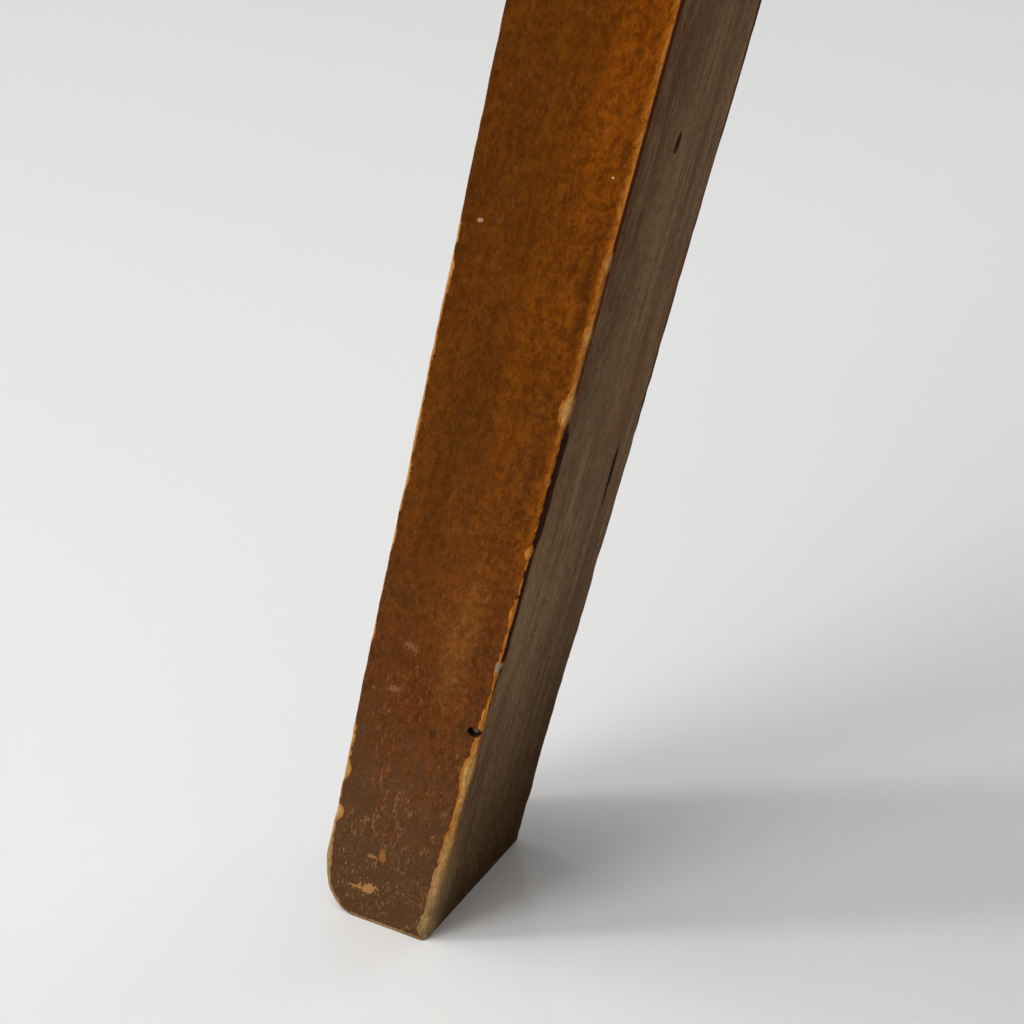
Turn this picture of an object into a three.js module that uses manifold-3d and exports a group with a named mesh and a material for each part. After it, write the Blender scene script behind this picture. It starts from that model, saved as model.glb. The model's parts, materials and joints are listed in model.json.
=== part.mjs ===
// A three-legged wooden stool: three splayed rectangular legs, a three-armed bearer and a round seat
// glued up from boards. Millimetres, +Z up. The floor is Z = 0 and the seat's centre is above the
// bearer's hub. Legs point outwards at 30, 150 and 270 degrees from +X.

import * as THREE from "three";
import { mergeVertices } from "three/addons/utils/BufferGeometryUtils.js";
import Module from "manifold-3d";

// Driving dimensions
const SEAT_HEIGHT = 450;
const SEAT_THICKNESS = 30;
const SEAT_RADIUS = 165;
const SEAT_TOP_ROUND = 7;
const SEAT_UNDER_ROUND = 3;
const SEAT_JOINT_OFFSET = 64;

const LEG_WIDTH = 45;
const LEG_DEPTH_AT_FLOOR = 30.4;
const LEG_INNER_RADIUS_AT_FLOOR = 184.6;
const LEG_INNER_SLOPE = 0.24;
const LEG_OUTER_SLOPE = 0.218;
const TOE_ROUND = 8;
const HEEL_ROUND = 1.5;

const ARM_WIDTH = 45;
const ARM_HEIGHT = 45;
const HUB_ACROSS_FLATS = 80;
const TENON_THICKNESS = 15;
const STUB_TENON_LENGTH = 20;
const STUB_TENON_HEIGHT = 30;

const PEG_DIAMETER = 8;
const PEG_UPPER_BELOW_SEAT = 13;
const PEG_LOWER_BELOW_SEAT = 32;
const PEG_STAND_OUT = 0.6;

const SCREW_LENGTH = 45;
const SCREW_SHANK_DIAMETER = 4.5;
const SCREW_HEAD_DIAMETER = 9;
const SCREW_HEAD_HEIGHT = 3;
const SCREW_RECESS_DIAMETER = 11;
const SCREW_RECESS_DEPTH = 18;
const SCREW_INNER_RADIUS = 50;
const SCREW_OUTER_RADIUS = 78;

const TONGUE_THICKNESS = 6;
const TONGUE_DEPTH = 8;
const TONGUE_LENGTH = 250;

// Clearance between glued or touching pieces, and how finely round surfaces are divided.
const GAP = 0.3;
const ROUND_SIDES = 20;
const SEAT_SIDES = 72;
const ARC_STEPS = 5;
// How far a cutting solid runs past the face that it cuts.
const OVERRUN = 5;

// Derived dimensions
const seatUnderside = SEAT_HEIGHT - SEAT_THICKNESS;
const bearerTop = seatUnderside - GAP;
const bearerBottom = bearerTop - ARM_HEIGHT;
const hubFlatRadius = HUB_ACROSS_FLATS / 2;
const quarterTurn = Math.PI / 2;
const legPlaces = { left: 150, right: 30, front: 270 };

const legOuterRadius = (z) => LEG_INNER_RADIUS_AT_FLOOR + LEG_DEPTH_AT_FLOOR - LEG_OUTER_SLOPE * z;
const legInnerRadius = (z) => LEG_INNER_RADIUS_AT_FLOOR - LEG_INNER_SLOPE * z;

const legWood = new THREE.MeshStandardMaterial({ color: 0x8a4a1c, roughness: 0.38, metalness: 0 });
const bearerWood = new THREE.MeshStandardMaterial({ color: 0x7d4420, roughness: 0.5, metalness: 0 });
const seatWood = new THREE.MeshStandardMaterial({ color: 0x96521e, roughness: 0.36, metalness: 0 });
const bareWood = new THREE.MeshStandardMaterial({ color: 0xc08a50, roughness: 0.7, metalness: 0 });
const screwSteel = new THREE.MeshStandardMaterial({ color: 0x8d8a84, roughness: 0.45, metalness: 0.9 });

const wasm = await Module();
wasm.setup();

// --- Solids -------------------------------------------------------------------------------------

function toSolid(geometry) {
  const bare = geometry.index ? geometry.toNonIndexed() : geometry.clone();
  bare.deleteAttribute("normal");
  bare.deleteAttribute("uv");
  const merged = mergeVertices(bare, 1e-4);
  return new wasm.Manifold(new wasm.Mesh({
    numProp: 3,
    vertProperties: merged.attributes.position.array,
    triVerts: new Uint32Array(merged.index.array),
  }));
}

function toGeometry(solid) {
  const mesh = solid.getMesh();
  const geometry = new THREE.BufferGeometry();
  geometry.setAttribute("position", new THREE.BufferAttribute(mesh.vertProperties, 3));
  geometry.setIndex(new THREE.BufferAttribute(mesh.triVerts, 1));
  geometry.computeVertexNormals();
  return geometry;
}

function cut(body, ...cutters) {
  return cutters.reduce((solid, cutter) => solid.subtract(cutter), body);
}

// A box between two corners, turned about the Z axis.
function box(xLow, xHigh, yLow, yHigh, zLow, zHigh, degrees = 0) {
  const geometry = new THREE.BoxGeometry(xHigh - xLow, yHigh - yLow, zHigh - zLow);
  geometry.translate((xLow + xHigh) / 2, (yLow + yHigh) / 2, (zLow + zHigh) / 2);
  geometry.rotateZ(THREE.MathUtils.degToRad(degrees));
  return toSolid(geometry);
}

// A round bar along Z.
function uprightBar(diameter, x, y, zLow, zHigh) {
  const geometry = new THREE.CylinderGeometry(diameter / 2, diameter / 2, zHigh - zLow, ROUND_SIDES);
  geometry.rotateX(quarterTurn);
  geometry.translate(x, y, (zLow + zHigh) / 2);
  return toSolid(geometry);
}

// A round bar along Y.
function crossBar(diameter, x, z, length) {
  const geometry = new THREE.CylinderGeometry(diameter / 2, diameter / 2, length, ROUND_SIDES);
  geometry.translate(x, 0, z);
  return toSolid(geometry);
}

// A plank of the given thickness, centred on the plane Y = 0, from an outline in X and Z.
function plank(outline, thickness) {
  const geometry = new THREE.ExtrudeGeometry(outline, {
    depth: thickness,
    bevelEnabled: false,
    curveSegments: ARC_STEPS,
  });
  geometry.translate(0, 0, -thickness / 2);
  geometry.rotateX(quarterTurn);
  return toSolid(geometry);
}

function polygon(points) {
  return new THREE.Shape(points.map(([x, z]) => new THREE.Vector2(x, z)));
}

// A part drawn pointing along +X, turned to its leg's direction.
function place(name, geometry, material, degrees = 0) {
  const mesh = new THREE.Mesh(geometry, material);
  mesh.name = name;
  mesh.rotation.z = THREE.MathUtils.degToRad(degrees);
  return mesh;
}

// --- Legs ---------------------------------------------------------------------------------------

// The leg seen from its side: a tapered board that leans inwards, with a round toe.
function legOutline() {
  const innerFoot = LEG_INNER_RADIUS_AT_FLOOR;
  const outerFoot = legOuterRadius(0);
  const shape = new THREE.Shape();
  shape.moveTo(legInnerRadius(bearerTop), bearerTop);
  shape.lineTo(legInnerRadius(HEEL_ROUND), HEEL_ROUND);
  shape.quadraticCurveTo(innerFoot, 0, innerFoot + HEEL_ROUND, 0);
  shape.lineTo(outerFoot - TOE_ROUND, 0);
  shape.quadraticCurveTo(outerFoot, 0, legOuterRadius(TOE_ROUND), TOE_ROUND);
  shape.lineTo(legOuterRadius(bearerTop), bearerTop);
  shape.closePath();
  return shape;
}

// A peg stands in the middle of the leg's depth at its own height.
function pegPlace(belowSeat) {
  const z = seatUnderside - belowSeat;
  return { x: (legInnerRadius(z) + legOuterRadius(z)) / 2, z };
}

const pegPlaces = { upper: pegPlace(PEG_UPPER_BELOW_SEAT), lower: pegPlace(PEG_LOWER_BELOW_SEAT) };

function pegHoles() {
  const diameter = PEG_DIAMETER + 2 * GAP;
  return Object.values(pegPlaces).map(({ x, z }) => crossBar(diameter, x, z, LEG_WIDTH + 2 * OVERRUN));
}

function leg() {
  const half = TENON_THICKNESS / 2;
  const slot = box(
    legInnerRadius(bearerTop) - OVERRUN,
    legOuterRadius(bearerBottom) + OVERRUN,
    -half,
    half,
    bearerBottom - GAP,
    bearerTop + OVERRUN,
  );
  return toGeometry(cut(plank(legOutline(), LEG_WIDTH), slot, ...pegHoles()));
}

function peg({ x, z }) {
  const radius = PEG_DIAMETER / 2;
  const half = LEG_WIDTH / 2 + PEG_STAND_OUT;
  const geometry = new THREE.LatheGeometry([
    new THREE.Vector2(0, -half),
    new THREE.Vector2(radius - PEG_STAND_OUT, -half),
    new THREE.Vector2(radius, -half + PEG_STAND_OUT),
    new THREE.Vector2(radius, half - PEG_STAND_OUT),
    new THREE.Vector2(radius - PEG_STAND_OUT, half),
    new THREE.Vector2(0, half),
  ], ROUND_SIDES);
  geometry.translate(x, 0, z);
  return toGeometry(toSolid(geometry));
}

// --- Bearer -------------------------------------------------------------------------------------

// One arm: a square bar with a stub tenon at the hub and a full-height tongue in the leg's slot.
function arm() {
  const bar = plank(polygon([
    [hubFlatRadius + GAP, bearerBottom],
    [legInnerRadius(bearerBottom) - GAP, bearerBottom],
    [legInnerRadius(bearerTop) - GAP, bearerTop],
    [hubFlatRadius + GAP, bearerTop],
  ]), ARM_WIDTH);
  const tongue = plank(polygon([
    [hubFlatRadius + OVERRUN, bearerBottom],
    [legOuterRadius(bearerBottom), bearerBottom],
    [legOuterRadius(bearerTop), bearerTop],
    [hubFlatRadius + OVERRUN, bearerTop],
  ]), TENON_THICKNESS - 2 * GAP);
  const middle = (bearerBottom + bearerTop) / 2;
  const stub = box(
    hubFlatRadius - STUB_TENON_LENGTH,
    hubFlatRadius + OVERRUN,
    -TENON_THICKNESS / 2 + GAP,
    TENON_THICKNESS / 2 - GAP,
    middle - STUB_TENON_HEIGHT / 2,
    middle + STUB_TENON_HEIGHT / 2,
  );
  const screwHoles = [SCREW_INNER_RADIUS, SCREW_OUTER_RADIUS].flatMap((radius) => screwRoom(radius));
  return toGeometry(cut(bar.add(tongue).add(stub), ...pegHoles(), ...screwHoles));
}

// The hub: a hexagonal block with a flat, and a mortise in it, towards each leg.
function hub() {
  const cornerRadius = hubFlatRadius / Math.cos(Math.PI / 6);
  const outline = Array.from({ length: 6 }, (_, side) => {
    const angle = (side * Math.PI) / 3;
    return [cornerRadius * Math.cos(angle), cornerRadius * Math.sin(angle)];
  });
  const block = new THREE.ExtrudeGeometry(polygon(outline), { depth: ARM_HEIGHT, bevelEnabled: false });
  block.translate(0, 0, bearerBottom);
  const middle = (bearerBottom + bearerTop) / 2;
  const mortises = Object.values(legPlaces).map((degrees) => box(
    hubFlatRadius - STUB_TENON_LENGTH - GAP,
    hubFlatRadius + OVERRUN,
    -TENON_THICKNESS / 2,
    TENON_THICKNESS / 2,
    middle - STUB_TENON_HEIGHT / 2 - GAP,
    middle + STUB_TENON_HEIGHT / 2 + GAP,
    degrees,
  ));
  return toGeometry(cut(toSolid(block), ...mortises, ...screwRoom(0)));
}

// --- Screws -------------------------------------------------------------------------------------

const screwHeadBottom = bearerBottom + SCREW_RECESS_DEPTH;

// A slotted countersunk wood screw, head down, standing on the axis X = radius.
function screw(radius) {
  const head = SCREW_HEAD_DIAMETER / 2;
  const shank = SCREW_SHANK_DIAMETER / 2;
  const rim = 0.5;
  const point = 5;
  const geometry = new THREE.LatheGeometry([
    new THREE.Vector2(0, 0),
    new THREE.Vector2(head, 0),
    new THREE.Vector2(head, rim),
    new THREE.Vector2(shank, SCREW_HEAD_HEIGHT),
    new THREE.Vector2(shank, SCREW_LENGTH - point),
    new THREE.Vector2(0, SCREW_LENGTH),
  ], ROUND_SIDES);
  geometry.rotateX(quarterTurn);
  geometry.translate(radius, 0, screwHeadBottom);
  const slotDepth = 1.2;
  const slotHalfWidth = 0.6;
  const slot = box(
    radius - SCREW_HEAD_DIAMETER,
    radius + SCREW_HEAD_DIAMETER,
    -slotHalfWidth,
    slotHalfWidth,
    screwHeadBottom - OVERRUN,
    screwHeadBottom + slotDepth,
  );
  return toGeometry(cut(toSolid(geometry), slot));
}

// The room that a screw takes in the bearer: a recess up to its head, a countersink and a hole.
function screwRoom(radius) {
  const hole = SCREW_SHANK_DIAMETER + 2 * GAP;
  const recess = uprightBar(
    SCREW_RECESS_DIAMETER,
    radius,
    0,
    bearerBottom - OVERRUN,
    screwHeadBottom + 2 * GAP,
  );
  const sinkHeight = SCREW_HEAD_HEIGHT + GAP;
  const sink = new THREE.CylinderGeometry(
    hole / 2,
    SCREW_HEAD_DIAMETER / 2 + GAP,
    sinkHeight,
    ROUND_SIDES,
  );
  sink.rotateX(quarterTurn);
  sink.translate(radius, 0, screwHeadBottom + 2 * GAP + sinkHeight / 2);
  const clearance = uprightBar(hole, radius, 0, screwHeadBottom, bearerTop + OVERRUN);
  return [recess, toSolid(sink), clearance];
}

// --- Seat ---------------------------------------------------------------------------------------

// The seat's whole disc, with a generous round on its top edge and a small one underneath.
function seatDisc() {
  const profile = new THREE.Path();
  profile.moveTo(0, seatUnderside);
  profile.lineTo(SEAT_RADIUS - SEAT_UNDER_ROUND, seatUnderside);
  profile.absarc(
    SEAT_RADIUS - SEAT_UNDER_ROUND,
    seatUnderside + SEAT_UNDER_ROUND,
    SEAT_UNDER_ROUND,
    -quarterTurn,
    0,
    false,
  );
  profile.absarc(
    SEAT_RADIUS - SEAT_TOP_ROUND,
    SEAT_HEIGHT - SEAT_TOP_ROUND,
    SEAT_TOP_ROUND,
    0,
    quarterTurn,
    false,
  );
  profile.lineTo(0, SEAT_HEIGHT);
  const geometry = new THREE.LatheGeometry(profile.getPoints(ARC_STEPS), SEAT_SIDES);
  geometry.rotateX(quarterTurn);
  return toSolid(geometry);
}

// The stopped groove, shared by the boards on each side of a glued joint, for a loose tongue.
function tongueBar(y, clearance) {
  const middle = SEAT_HEIGHT - SEAT_THICKNESS / 2;
  const halfLength = TONGUE_LENGTH / 2 + clearance;
  const halfWidth = TONGUE_DEPTH + clearance;
  const halfThickness = TONGUE_THICKNESS / 2 + clearance;
  return box(
    -halfLength,
    halfLength,
    y - halfWidth,
    y + halfWidth,
    middle - halfThickness,
    middle + halfThickness,
  );
}

// The pilot holes that the screws make in the seat.
function screwPilots() {
  const depth = screwHeadBottom + SCREW_LENGTH + GAP;
  const hole = SCREW_SHANK_DIAMETER + 2 * GAP;
  const pilot = (x, y) => uprightBar(hole, x, y, seatUnderside - OVERRUN, depth);
  const pilots = Object.values(legPlaces).flatMap((degrees) => {
    const angle = THREE.MathUtils.degToRad(degrees);
    return [SCREW_INNER_RADIUS, SCREW_OUTER_RADIUS].map((radius) =>
      pilot(radius * Math.cos(angle), radius * Math.sin(angle)));
  });
  return [...pilots, pilot(0, 0)];
}

function seatBoards() {
  const disc = seatDisc();
  const grooves = [-SEAT_JOINT_OFFSET, SEAT_JOINT_OFFSET].map((y) => tongueBar(y, GAP));
  const reach = SEAT_RADIUS + OVERRUN;
  const edge = SEAT_JOINT_OFFSET - GAP / 2;
  const strips = {
    front: [-reach, -SEAT_JOINT_OFFSET - GAP / 2],
    middle: [-edge, edge],
    back: [SEAT_JOINT_OFFSET + GAP / 2, reach],
  };
  return Object.entries(strips).map(([side, [yLow, yHigh]]) => {
    const strip = box(-reach, reach, yLow, yHigh, seatUnderside - OVERRUN, SEAT_HEIGHT + OVERRUN);
    const board = cut(disc.intersect(strip), ...grooves, ...screwPilots());
    return place(`seat_board_${side}`, toGeometry(board), seatWood.clone());
  });
}

// --- The stool ----------------------------------------------------------------------------------

const stool = new THREE.Group();

for (const [side, degrees] of Object.entries(legPlaces)) {
  stool.add(
    place(`leg_${side}`, leg(), legWood.clone(), degrees),
    place(`bearer_arm_${side}`, arm(), bearerWood.clone(), degrees),
    place(`peg_upper_${side}`, peg(pegPlaces.upper), bareWood.clone(), degrees),
    place(`peg_lower_${side}`, peg(pegPlaces.lower), bareWood.clone(), degrees),
    place(`screw_inner_${side}`, screw(SCREW_INNER_RADIUS), screwSteel.clone(), degrees),
    place(`screw_outer_${side}`, screw(SCREW_OUTER_RADIUS), screwSteel.clone(), degrees),
  );
}

stool.add(place("hub_block", hub(), bearerWood.clone()));
stool.add(place("screw_hub", screw(0), screwSteel.clone()));
stool.add(...seatBoards());
stool.add(
  place("seat_tongue_back", toGeometry(tongueBar(SEAT_JOINT_OFFSET, 0)), bareWood.clone()),
  place("seat_tongue_front", toGeometry(tongueBar(-SEAT_JOINT_OFFSET, 0)), bareWood.clone()),
);

// The part's origin is on the floor, under the middle of its outer box.
const outerBox = new THREE.Box3().setFromObject(stool);
stool.position.y = -(outerBox.min.y + outerBox.max.y) / 2;

export default stool;
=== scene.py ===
"""Looks of the three leg stool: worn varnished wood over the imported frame, a pale floor and soft light.

Lengths are in metres, except in the wood patterns, where the mesh attributes hold millimetres.
A leg's own directions are: radius (outwards from the stool's axis), sideways, and height.
"""

import json
import math
from types import SimpleNamespace

import bmesh
import bpy
import numpy as np
from mathutils import Matrix, Vector
from mathutils.geometry import convex_hull_2d


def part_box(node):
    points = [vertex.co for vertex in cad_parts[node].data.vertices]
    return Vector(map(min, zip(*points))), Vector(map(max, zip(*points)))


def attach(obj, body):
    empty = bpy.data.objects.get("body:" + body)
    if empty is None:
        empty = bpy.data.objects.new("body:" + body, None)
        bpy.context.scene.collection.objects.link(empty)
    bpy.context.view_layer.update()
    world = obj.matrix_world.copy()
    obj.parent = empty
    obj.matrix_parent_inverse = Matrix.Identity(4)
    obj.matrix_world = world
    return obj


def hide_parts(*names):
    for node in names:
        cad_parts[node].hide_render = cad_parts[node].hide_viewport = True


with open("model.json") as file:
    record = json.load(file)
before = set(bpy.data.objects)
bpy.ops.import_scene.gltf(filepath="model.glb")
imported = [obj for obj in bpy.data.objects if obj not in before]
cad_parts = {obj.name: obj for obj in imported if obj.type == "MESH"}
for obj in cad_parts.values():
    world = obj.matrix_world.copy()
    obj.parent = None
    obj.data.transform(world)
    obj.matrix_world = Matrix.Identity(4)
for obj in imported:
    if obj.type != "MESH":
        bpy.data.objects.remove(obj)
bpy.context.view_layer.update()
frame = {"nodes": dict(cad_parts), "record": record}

MM = 0.001
SIDES = ("left", "right", "front")
MOUNTS = {m["name"]: Vector(m["pos_m"]) for m in frame["record"]["mounts"]}
AXIS = MOUNTS["seat_top"].copy()
SEAT_TOP = AXIS.z
AXIS.z = 0
GAP = 0.3 * MM
OVERRUN = 5 * MM
TONGUE_SLOT = 15 * MM
# How far apart in the wood, in millimetres, the patterns of like pieces are taken.
APART = {"leg": 137, "arm": 211, "hub": 907, "peg": 31, "screw": 17, "board": 333}

bpy.context.scene.view_settings.view_transform = "Standard"


# --- Places on a leg ------------------------------------------------------------------------------

def leg_angle(side):
    foot = MOUNTS[f"foot_{side}"] - AXIS
    return math.atan2(foot.y, foot.x)


def from_leg(side, places):
    """Rows of (radius, sideways, height) beside a leg, as points in the row frame."""
    c, s = math.cos(leg_angle(side)), math.sin(leg_angle(side))
    places = np.asarray(places, float)
    radius, sideways = places[..., 0], places[..., 1]
    x = AXIS.x + radius * c - sideways * s
    y = AXIS.y + radius * s + sideways * c
    return np.stack([x, y, places[..., 2]], axis=-1)


def to_leg(side, points):
    """Points in the row frame, as rows of (radius, sideways, height) beside a leg."""
    c, s = math.cos(leg_angle(side)), math.sin(leg_angle(side))
    points = np.asarray(points, float)
    x, y = points[..., 0] - AXIS.x, points[..., 1] - AXIS.y
    return np.stack([x * c + y * s, y * c - x * s, points[..., 2]], axis=-1)


def leg_lines():
    """The CAD leg's inner and outer faces, each as (radius at the floor, radius per metre of height)."""
    points = to_leg("front", [v.co for v in frame["nodes"]["leg_front"].data.vertices])
    outline = [Vector((radius, height)) for radius, _, height in points]
    hull = [outline[i] for i in convex_hull_2d(outline)]
    edges = sorted(zip(hull, hull[1:] + hull[:1]), key=lambda e: (e[0] - e[1]).length)
    lines = []
    for a, b in edges[-2:]:
        slope = (b.x - a.x) / (b.y - a.y)
        lines.append((a.x - slope * a.y, slope))
    return sorted(lines)


INNER_LINE, OUTER_LINE = leg_lines()


def half_size(node, axis):
    """Half of a CAD object's size along one axis."""
    low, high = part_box(node)
    return (high[axis] - low[axis]) / 2


LEG_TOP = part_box("leg_front")[1].z
LEG_HALF = half_size("leg_front", 0)


def inner_radius(height):
    return INNER_LINE[0] + INNER_LINE[1] * height


def outer_radius(height):
    return OUTER_LINE[0] + OUTER_LINE[1] * height


# --- Mesh helpers ---------------------------------------------------------------------------------

# Edges sharper than this angle stay sharp when a piece is shaded smooth.
SMOOTH_ANGLE = math.radians(35)


def add_object(name, data):
    made = bpy.data.objects.new(name, data)
    bpy.context.scene.collection.objects.link(made)
    return made


def new_object(name, vertices, faces):
    mesh = bpy.data.meshes.new(name)
    mesh.from_pydata([tuple(v) for v in vertices], [], [tuple(f) for f in faces])
    mesh.update()
    return add_object(name, mesh)


def apply_modifiers(obj):
    """Replaces the mesh with what its modifiers make of it."""
    graph = bpy.context.evaluated_depsgraph_get()
    mesh = bpy.data.meshes.new_from_object(obj.evaluated_get(graph), depsgraph=graph)
    obj.modifiers.clear()
    obj.data = mesh
    return obj


def boolean(obj, operation, *others):
    """Cuts, joins or trims with other closed objects, which are used up."""
    for other in others:
        step = obj.modifiers.new("step", "BOOLEAN")
        step.operation = operation
        step.solver = "MANIFOLD"
        step.object = other
    apply_modifiers(obj)
    for other in others:
        bpy.data.objects.remove(other)
    return obj


def cut(obj, *cutters):
    return boolean(obj, "DIFFERENCE", *cutters)


def join(obj, *others):
    return boolean(obj, "UNION", *others)


def bevel(obj, width, segments=3, angle=math.radians(40)):
    step = obj.modifiers.new("bevel", "BEVEL")
    step.width = width
    step.segments = segments
    step.limit_method = "ANGLE"
    step.angle_limit = angle
    step.use_clamp_overlap = True
    return apply_modifiers(obj)


def smooth(obj, angle=SMOOTH_ANGLE):
    obj.data.shade_smooth()
    obj.data.set_sharp_from_angle(angle=angle)
    return obj


def outward(obj):
    """Turns every face outwards."""
    shape = bmesh.new()
    shape.from_mesh(obj.data)
    bmesh.ops.recalc_face_normals(shape, faces=shape.faces)
    shape.to_mesh(obj.data)
    shape.free()
    return obj


def upright_point(a, b, z):
    return a, b, z


def prism(name, outline, low, high, to_point=upright_point):
    """A closed prism: an outline of (a, b) pairs between two levels, each corner placed by to_point."""
    count = len(outline)
    points = [to_point(a, b, level) for level in (low, high) for a, b in outline]
    sides = [(i, (i + 1) % count, count + (i + 1) % count, count + i) for i in range(count)]
    made = new_object(name, points, sides + [range(count - 1, -1, -1), range(count, 2 * count)])
    return outward(made)


def leg_prism(name, side, outline, half):
    """A plank beside a leg: an outline of (radius, height) pairs, half its thickness to each side."""
    return prism(name, outline, -half, half, lambda r, z, t: from_leg(side, (r, t, z)))


def circle(centre, radius, steps=48):
    angles = [2 * math.pi * i / steps for i in range(steps)]
    return [(centre[0] + radius * math.cos(a), centre[1] + radius * math.sin(a)) for a in angles]


def ring_quads(rings, count, start=0):
    """The quads between rings of points that follow each other, each of this count."""
    faces = []
    for ring in range(rings - 1):
        a = start + ring * count
        b = a + count
        faces += [(a + i, a + (i + 1) % count, b + (i + 1) % count, b + i) for i in range(count)]
    return faces


def rectangle(low, high):
    """The four corners of a rectangle between two (a, b) pairs."""
    return [(low[0], low[1]), (high[0], low[1]), (high[0], high[1]), (low[0], high[1])]


def block(name, low, high):
    return prism(name, rectangle(low, high), low[2], high[2])


def turned(name, profile, steps, to_point):
    """A closed turned shape: (place along its axis, radius) pairs from end to end, with both caps."""
    points = []
    for along, radius in profile:
        points += [to_point(along, a, b) for a, b in circle((0, 0), radius, steps)]
    last = (len(profile) - 1) * steps
    caps = [range(steps - 1, -1, -1), range(last, last + steps)]
    return outward(new_object(name, points, ring_quads(len(profile), steps) + caps))


def ball(name, centre, radii, turn):
    """A closed ellipsoid, for shallow dents and holes."""
    shape = bmesh.new()
    bmesh.ops.create_icosphere(shape, subdivisions=3, radius=1)
    matrix = Matrix.Translation(centre) @ turn @ Matrix.Diagonal((*radii, 1))
    bmesh.ops.transform(shape, matrix=matrix, verts=shape.verts)
    mesh = bpy.data.meshes.new(name)
    shape.to_mesh(mesh)
    shape.free()
    return add_object(name, mesh)


def put_attribute(obj, name, values):
    """Stores a number or a vector for each vertex."""
    values = np.asarray(values, np.float32)
    kind, field = ("FLOAT_VECTOR", "vector") if values.ndim == 2 else ("FLOAT", "value")
    attribute = obj.data.attributes.new(name, kind, "POINT")
    attribute.data.foreach_set(field, values.ravel())


def points_of(obj):
    flat = np.zeros(len(obj.data.vertices) * 3, np.float32)
    obj.data.vertices.foreach_get("co", flat)
    return flat.reshape(-1, 3).astype(float)


KNOTS = 4096


def wander(places, seed, spacing, amount):
    """A smooth random line: its value at each place, from -amount to amount, new every spacing."""
    places = np.asarray(places, float) / spacing
    knots = np.random.default_rng(seed).uniform(-1, 1, KNOTS)
    low = np.floor(places).astype(int)
    share = places - low
    share = share * share * (3 - 2 * share)
    return amount * (knots[low % KNOTS] * (1 - share) + knots[(low + 1) % KNOTS] * share)


def rise(values, low, high):
    """0 below low and 1 above high, with a smooth change between them."""
    share = np.clip((np.asarray(values, float) - low) / (high - low), 0, 1)
    return share * share * (3 - 2 * share)


def between(values, low, high, blend):
    """1 between low and high and 0 outside, changing smoothly over blend."""
    return rise(values, low - blend, low + blend) * (1 - rise(values, high - blend, high + blend))


def finish_piece(obj, node, slot, place, grain, angle=SMOOTH_ANGLE):
    """Smooths a piece, says what it is made of and where it is in its wood, and hides the CAD part that
    it replaces.
    """
    smooth(obj, angle)
    put_attribute(obj, "place", place)
    put_attribute(obj, "grain", grain)
    obj.data.materials.clear()
    obj.data.materials.append(MATERIALS[slot])
    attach(obj, "root")
    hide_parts(node)


# --- Legs -----------------------------------------------------------------------------------------

TOE_WIDTH, TOE_HEIGHT = 10.5 * MM, 18 * MM
SOLE_ROUND = 0.25 * MM
EDGE_ZONE, EDGE_STEP = 3.3 * MM, 0.3 * MM
FACE_STEP = 2.4 * MM
ROW_STEP = 0.75 * MM
TOE_ROWS = 26
# How much of a worn edge's width is really gone; the rest is only rubbed bare.
INNER_WORN_AWAY, OUTER_WORN_AWAY = 0.4, 0.3
LEAST_WORN = 0.5 * MM
EDGE_UNEVEN = 0.26 * MM
# How much of a worn edge's width is bare round the sole.
INNER_SOLE_WEAR, OUTER_SOLE_WEAR = 0.3, 0.7
# How deep the waves in the faces are, in millimetres.
LONG_WAVE, SHORT_WAVE = 0.1, 0.04

# The photographed leg's two front edges, in millimetres: bare stretches (low, high, width), and
# chips (height, width, half length).
NEAR_EDGE = [(-9, 24, 1.0), (-9, 62, 1.35), (62, 76, 0.6), (80, 108, 0.1), (156, 186, 0.45),
             (192, 420, -0.6)]
NEAR_EDGE_CHIPS = [(190, 1.2, 2.4), (172, 0.5, 3), (154, 1.9, 3.6), (117, 1.0, 1.6), (100, 0.5, 2.5),
                   (84, 0.6, 2.6), (54, 1.2, 4), (30, 0.5, 4), (2, 0.8, 3)]
FAR_EDGE = [(-9, 25, 0.4), (-9, 58, 0.45), (58, 108, -0.1), (108, 192, 0.35), (192, 420, -0.5)]
FAR_EDGE_CHIPS = [(30, 1.6, 2.2), (43, 0.9, 2.4), (52, 0.5, 2), (14, 0.3, 4), (84, 0.3, 2),
                  (128, 0.3, 3), (180, 0.4, 2)]
# Where varnish ran over the near edge onto the inner face, as stretches too.
NEAR_EDGE_RUNS = [(60, 84, 0.8), (84, 149, 2.1), (118, 149, 1.5), (152, 420, 1.4)]

# A leg's four long edges: whether each is on the inner face, and on the positive side.
EDGES = [(inner, positive) for inner in (True, False) for positive in (True, False)]


def random_edge(seed):
    """Bare stretches and chips for an edge that the photograph doesn't show."""
    draw = np.random.default_rng(seed)
    low, middle = draw.uniform(40, 90), draw.uniform(120, 300)
    stretches = [(-9, low, draw.uniform(0.6, 1.8)), (middle, middle + draw.uniform(30, 90), 0.6)]
    chips = [(draw.uniform(5, 90), draw.uniform(0.5, 1.7), draw.uniform(3, 6)) for _ in range(5)]
    chips += [(draw.uniform(90, 400), draw.uniform(0.4, 1.6), draw.uniform(2, 5)) for _ in range(5)]
    return stretches, chips


def edge_seed(side, inner, positive):
    """A number that keeps the random lines of the legs' twelve long edges apart."""
    return 10 * SIDES.index(side) + 2 * inner + positive


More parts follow.
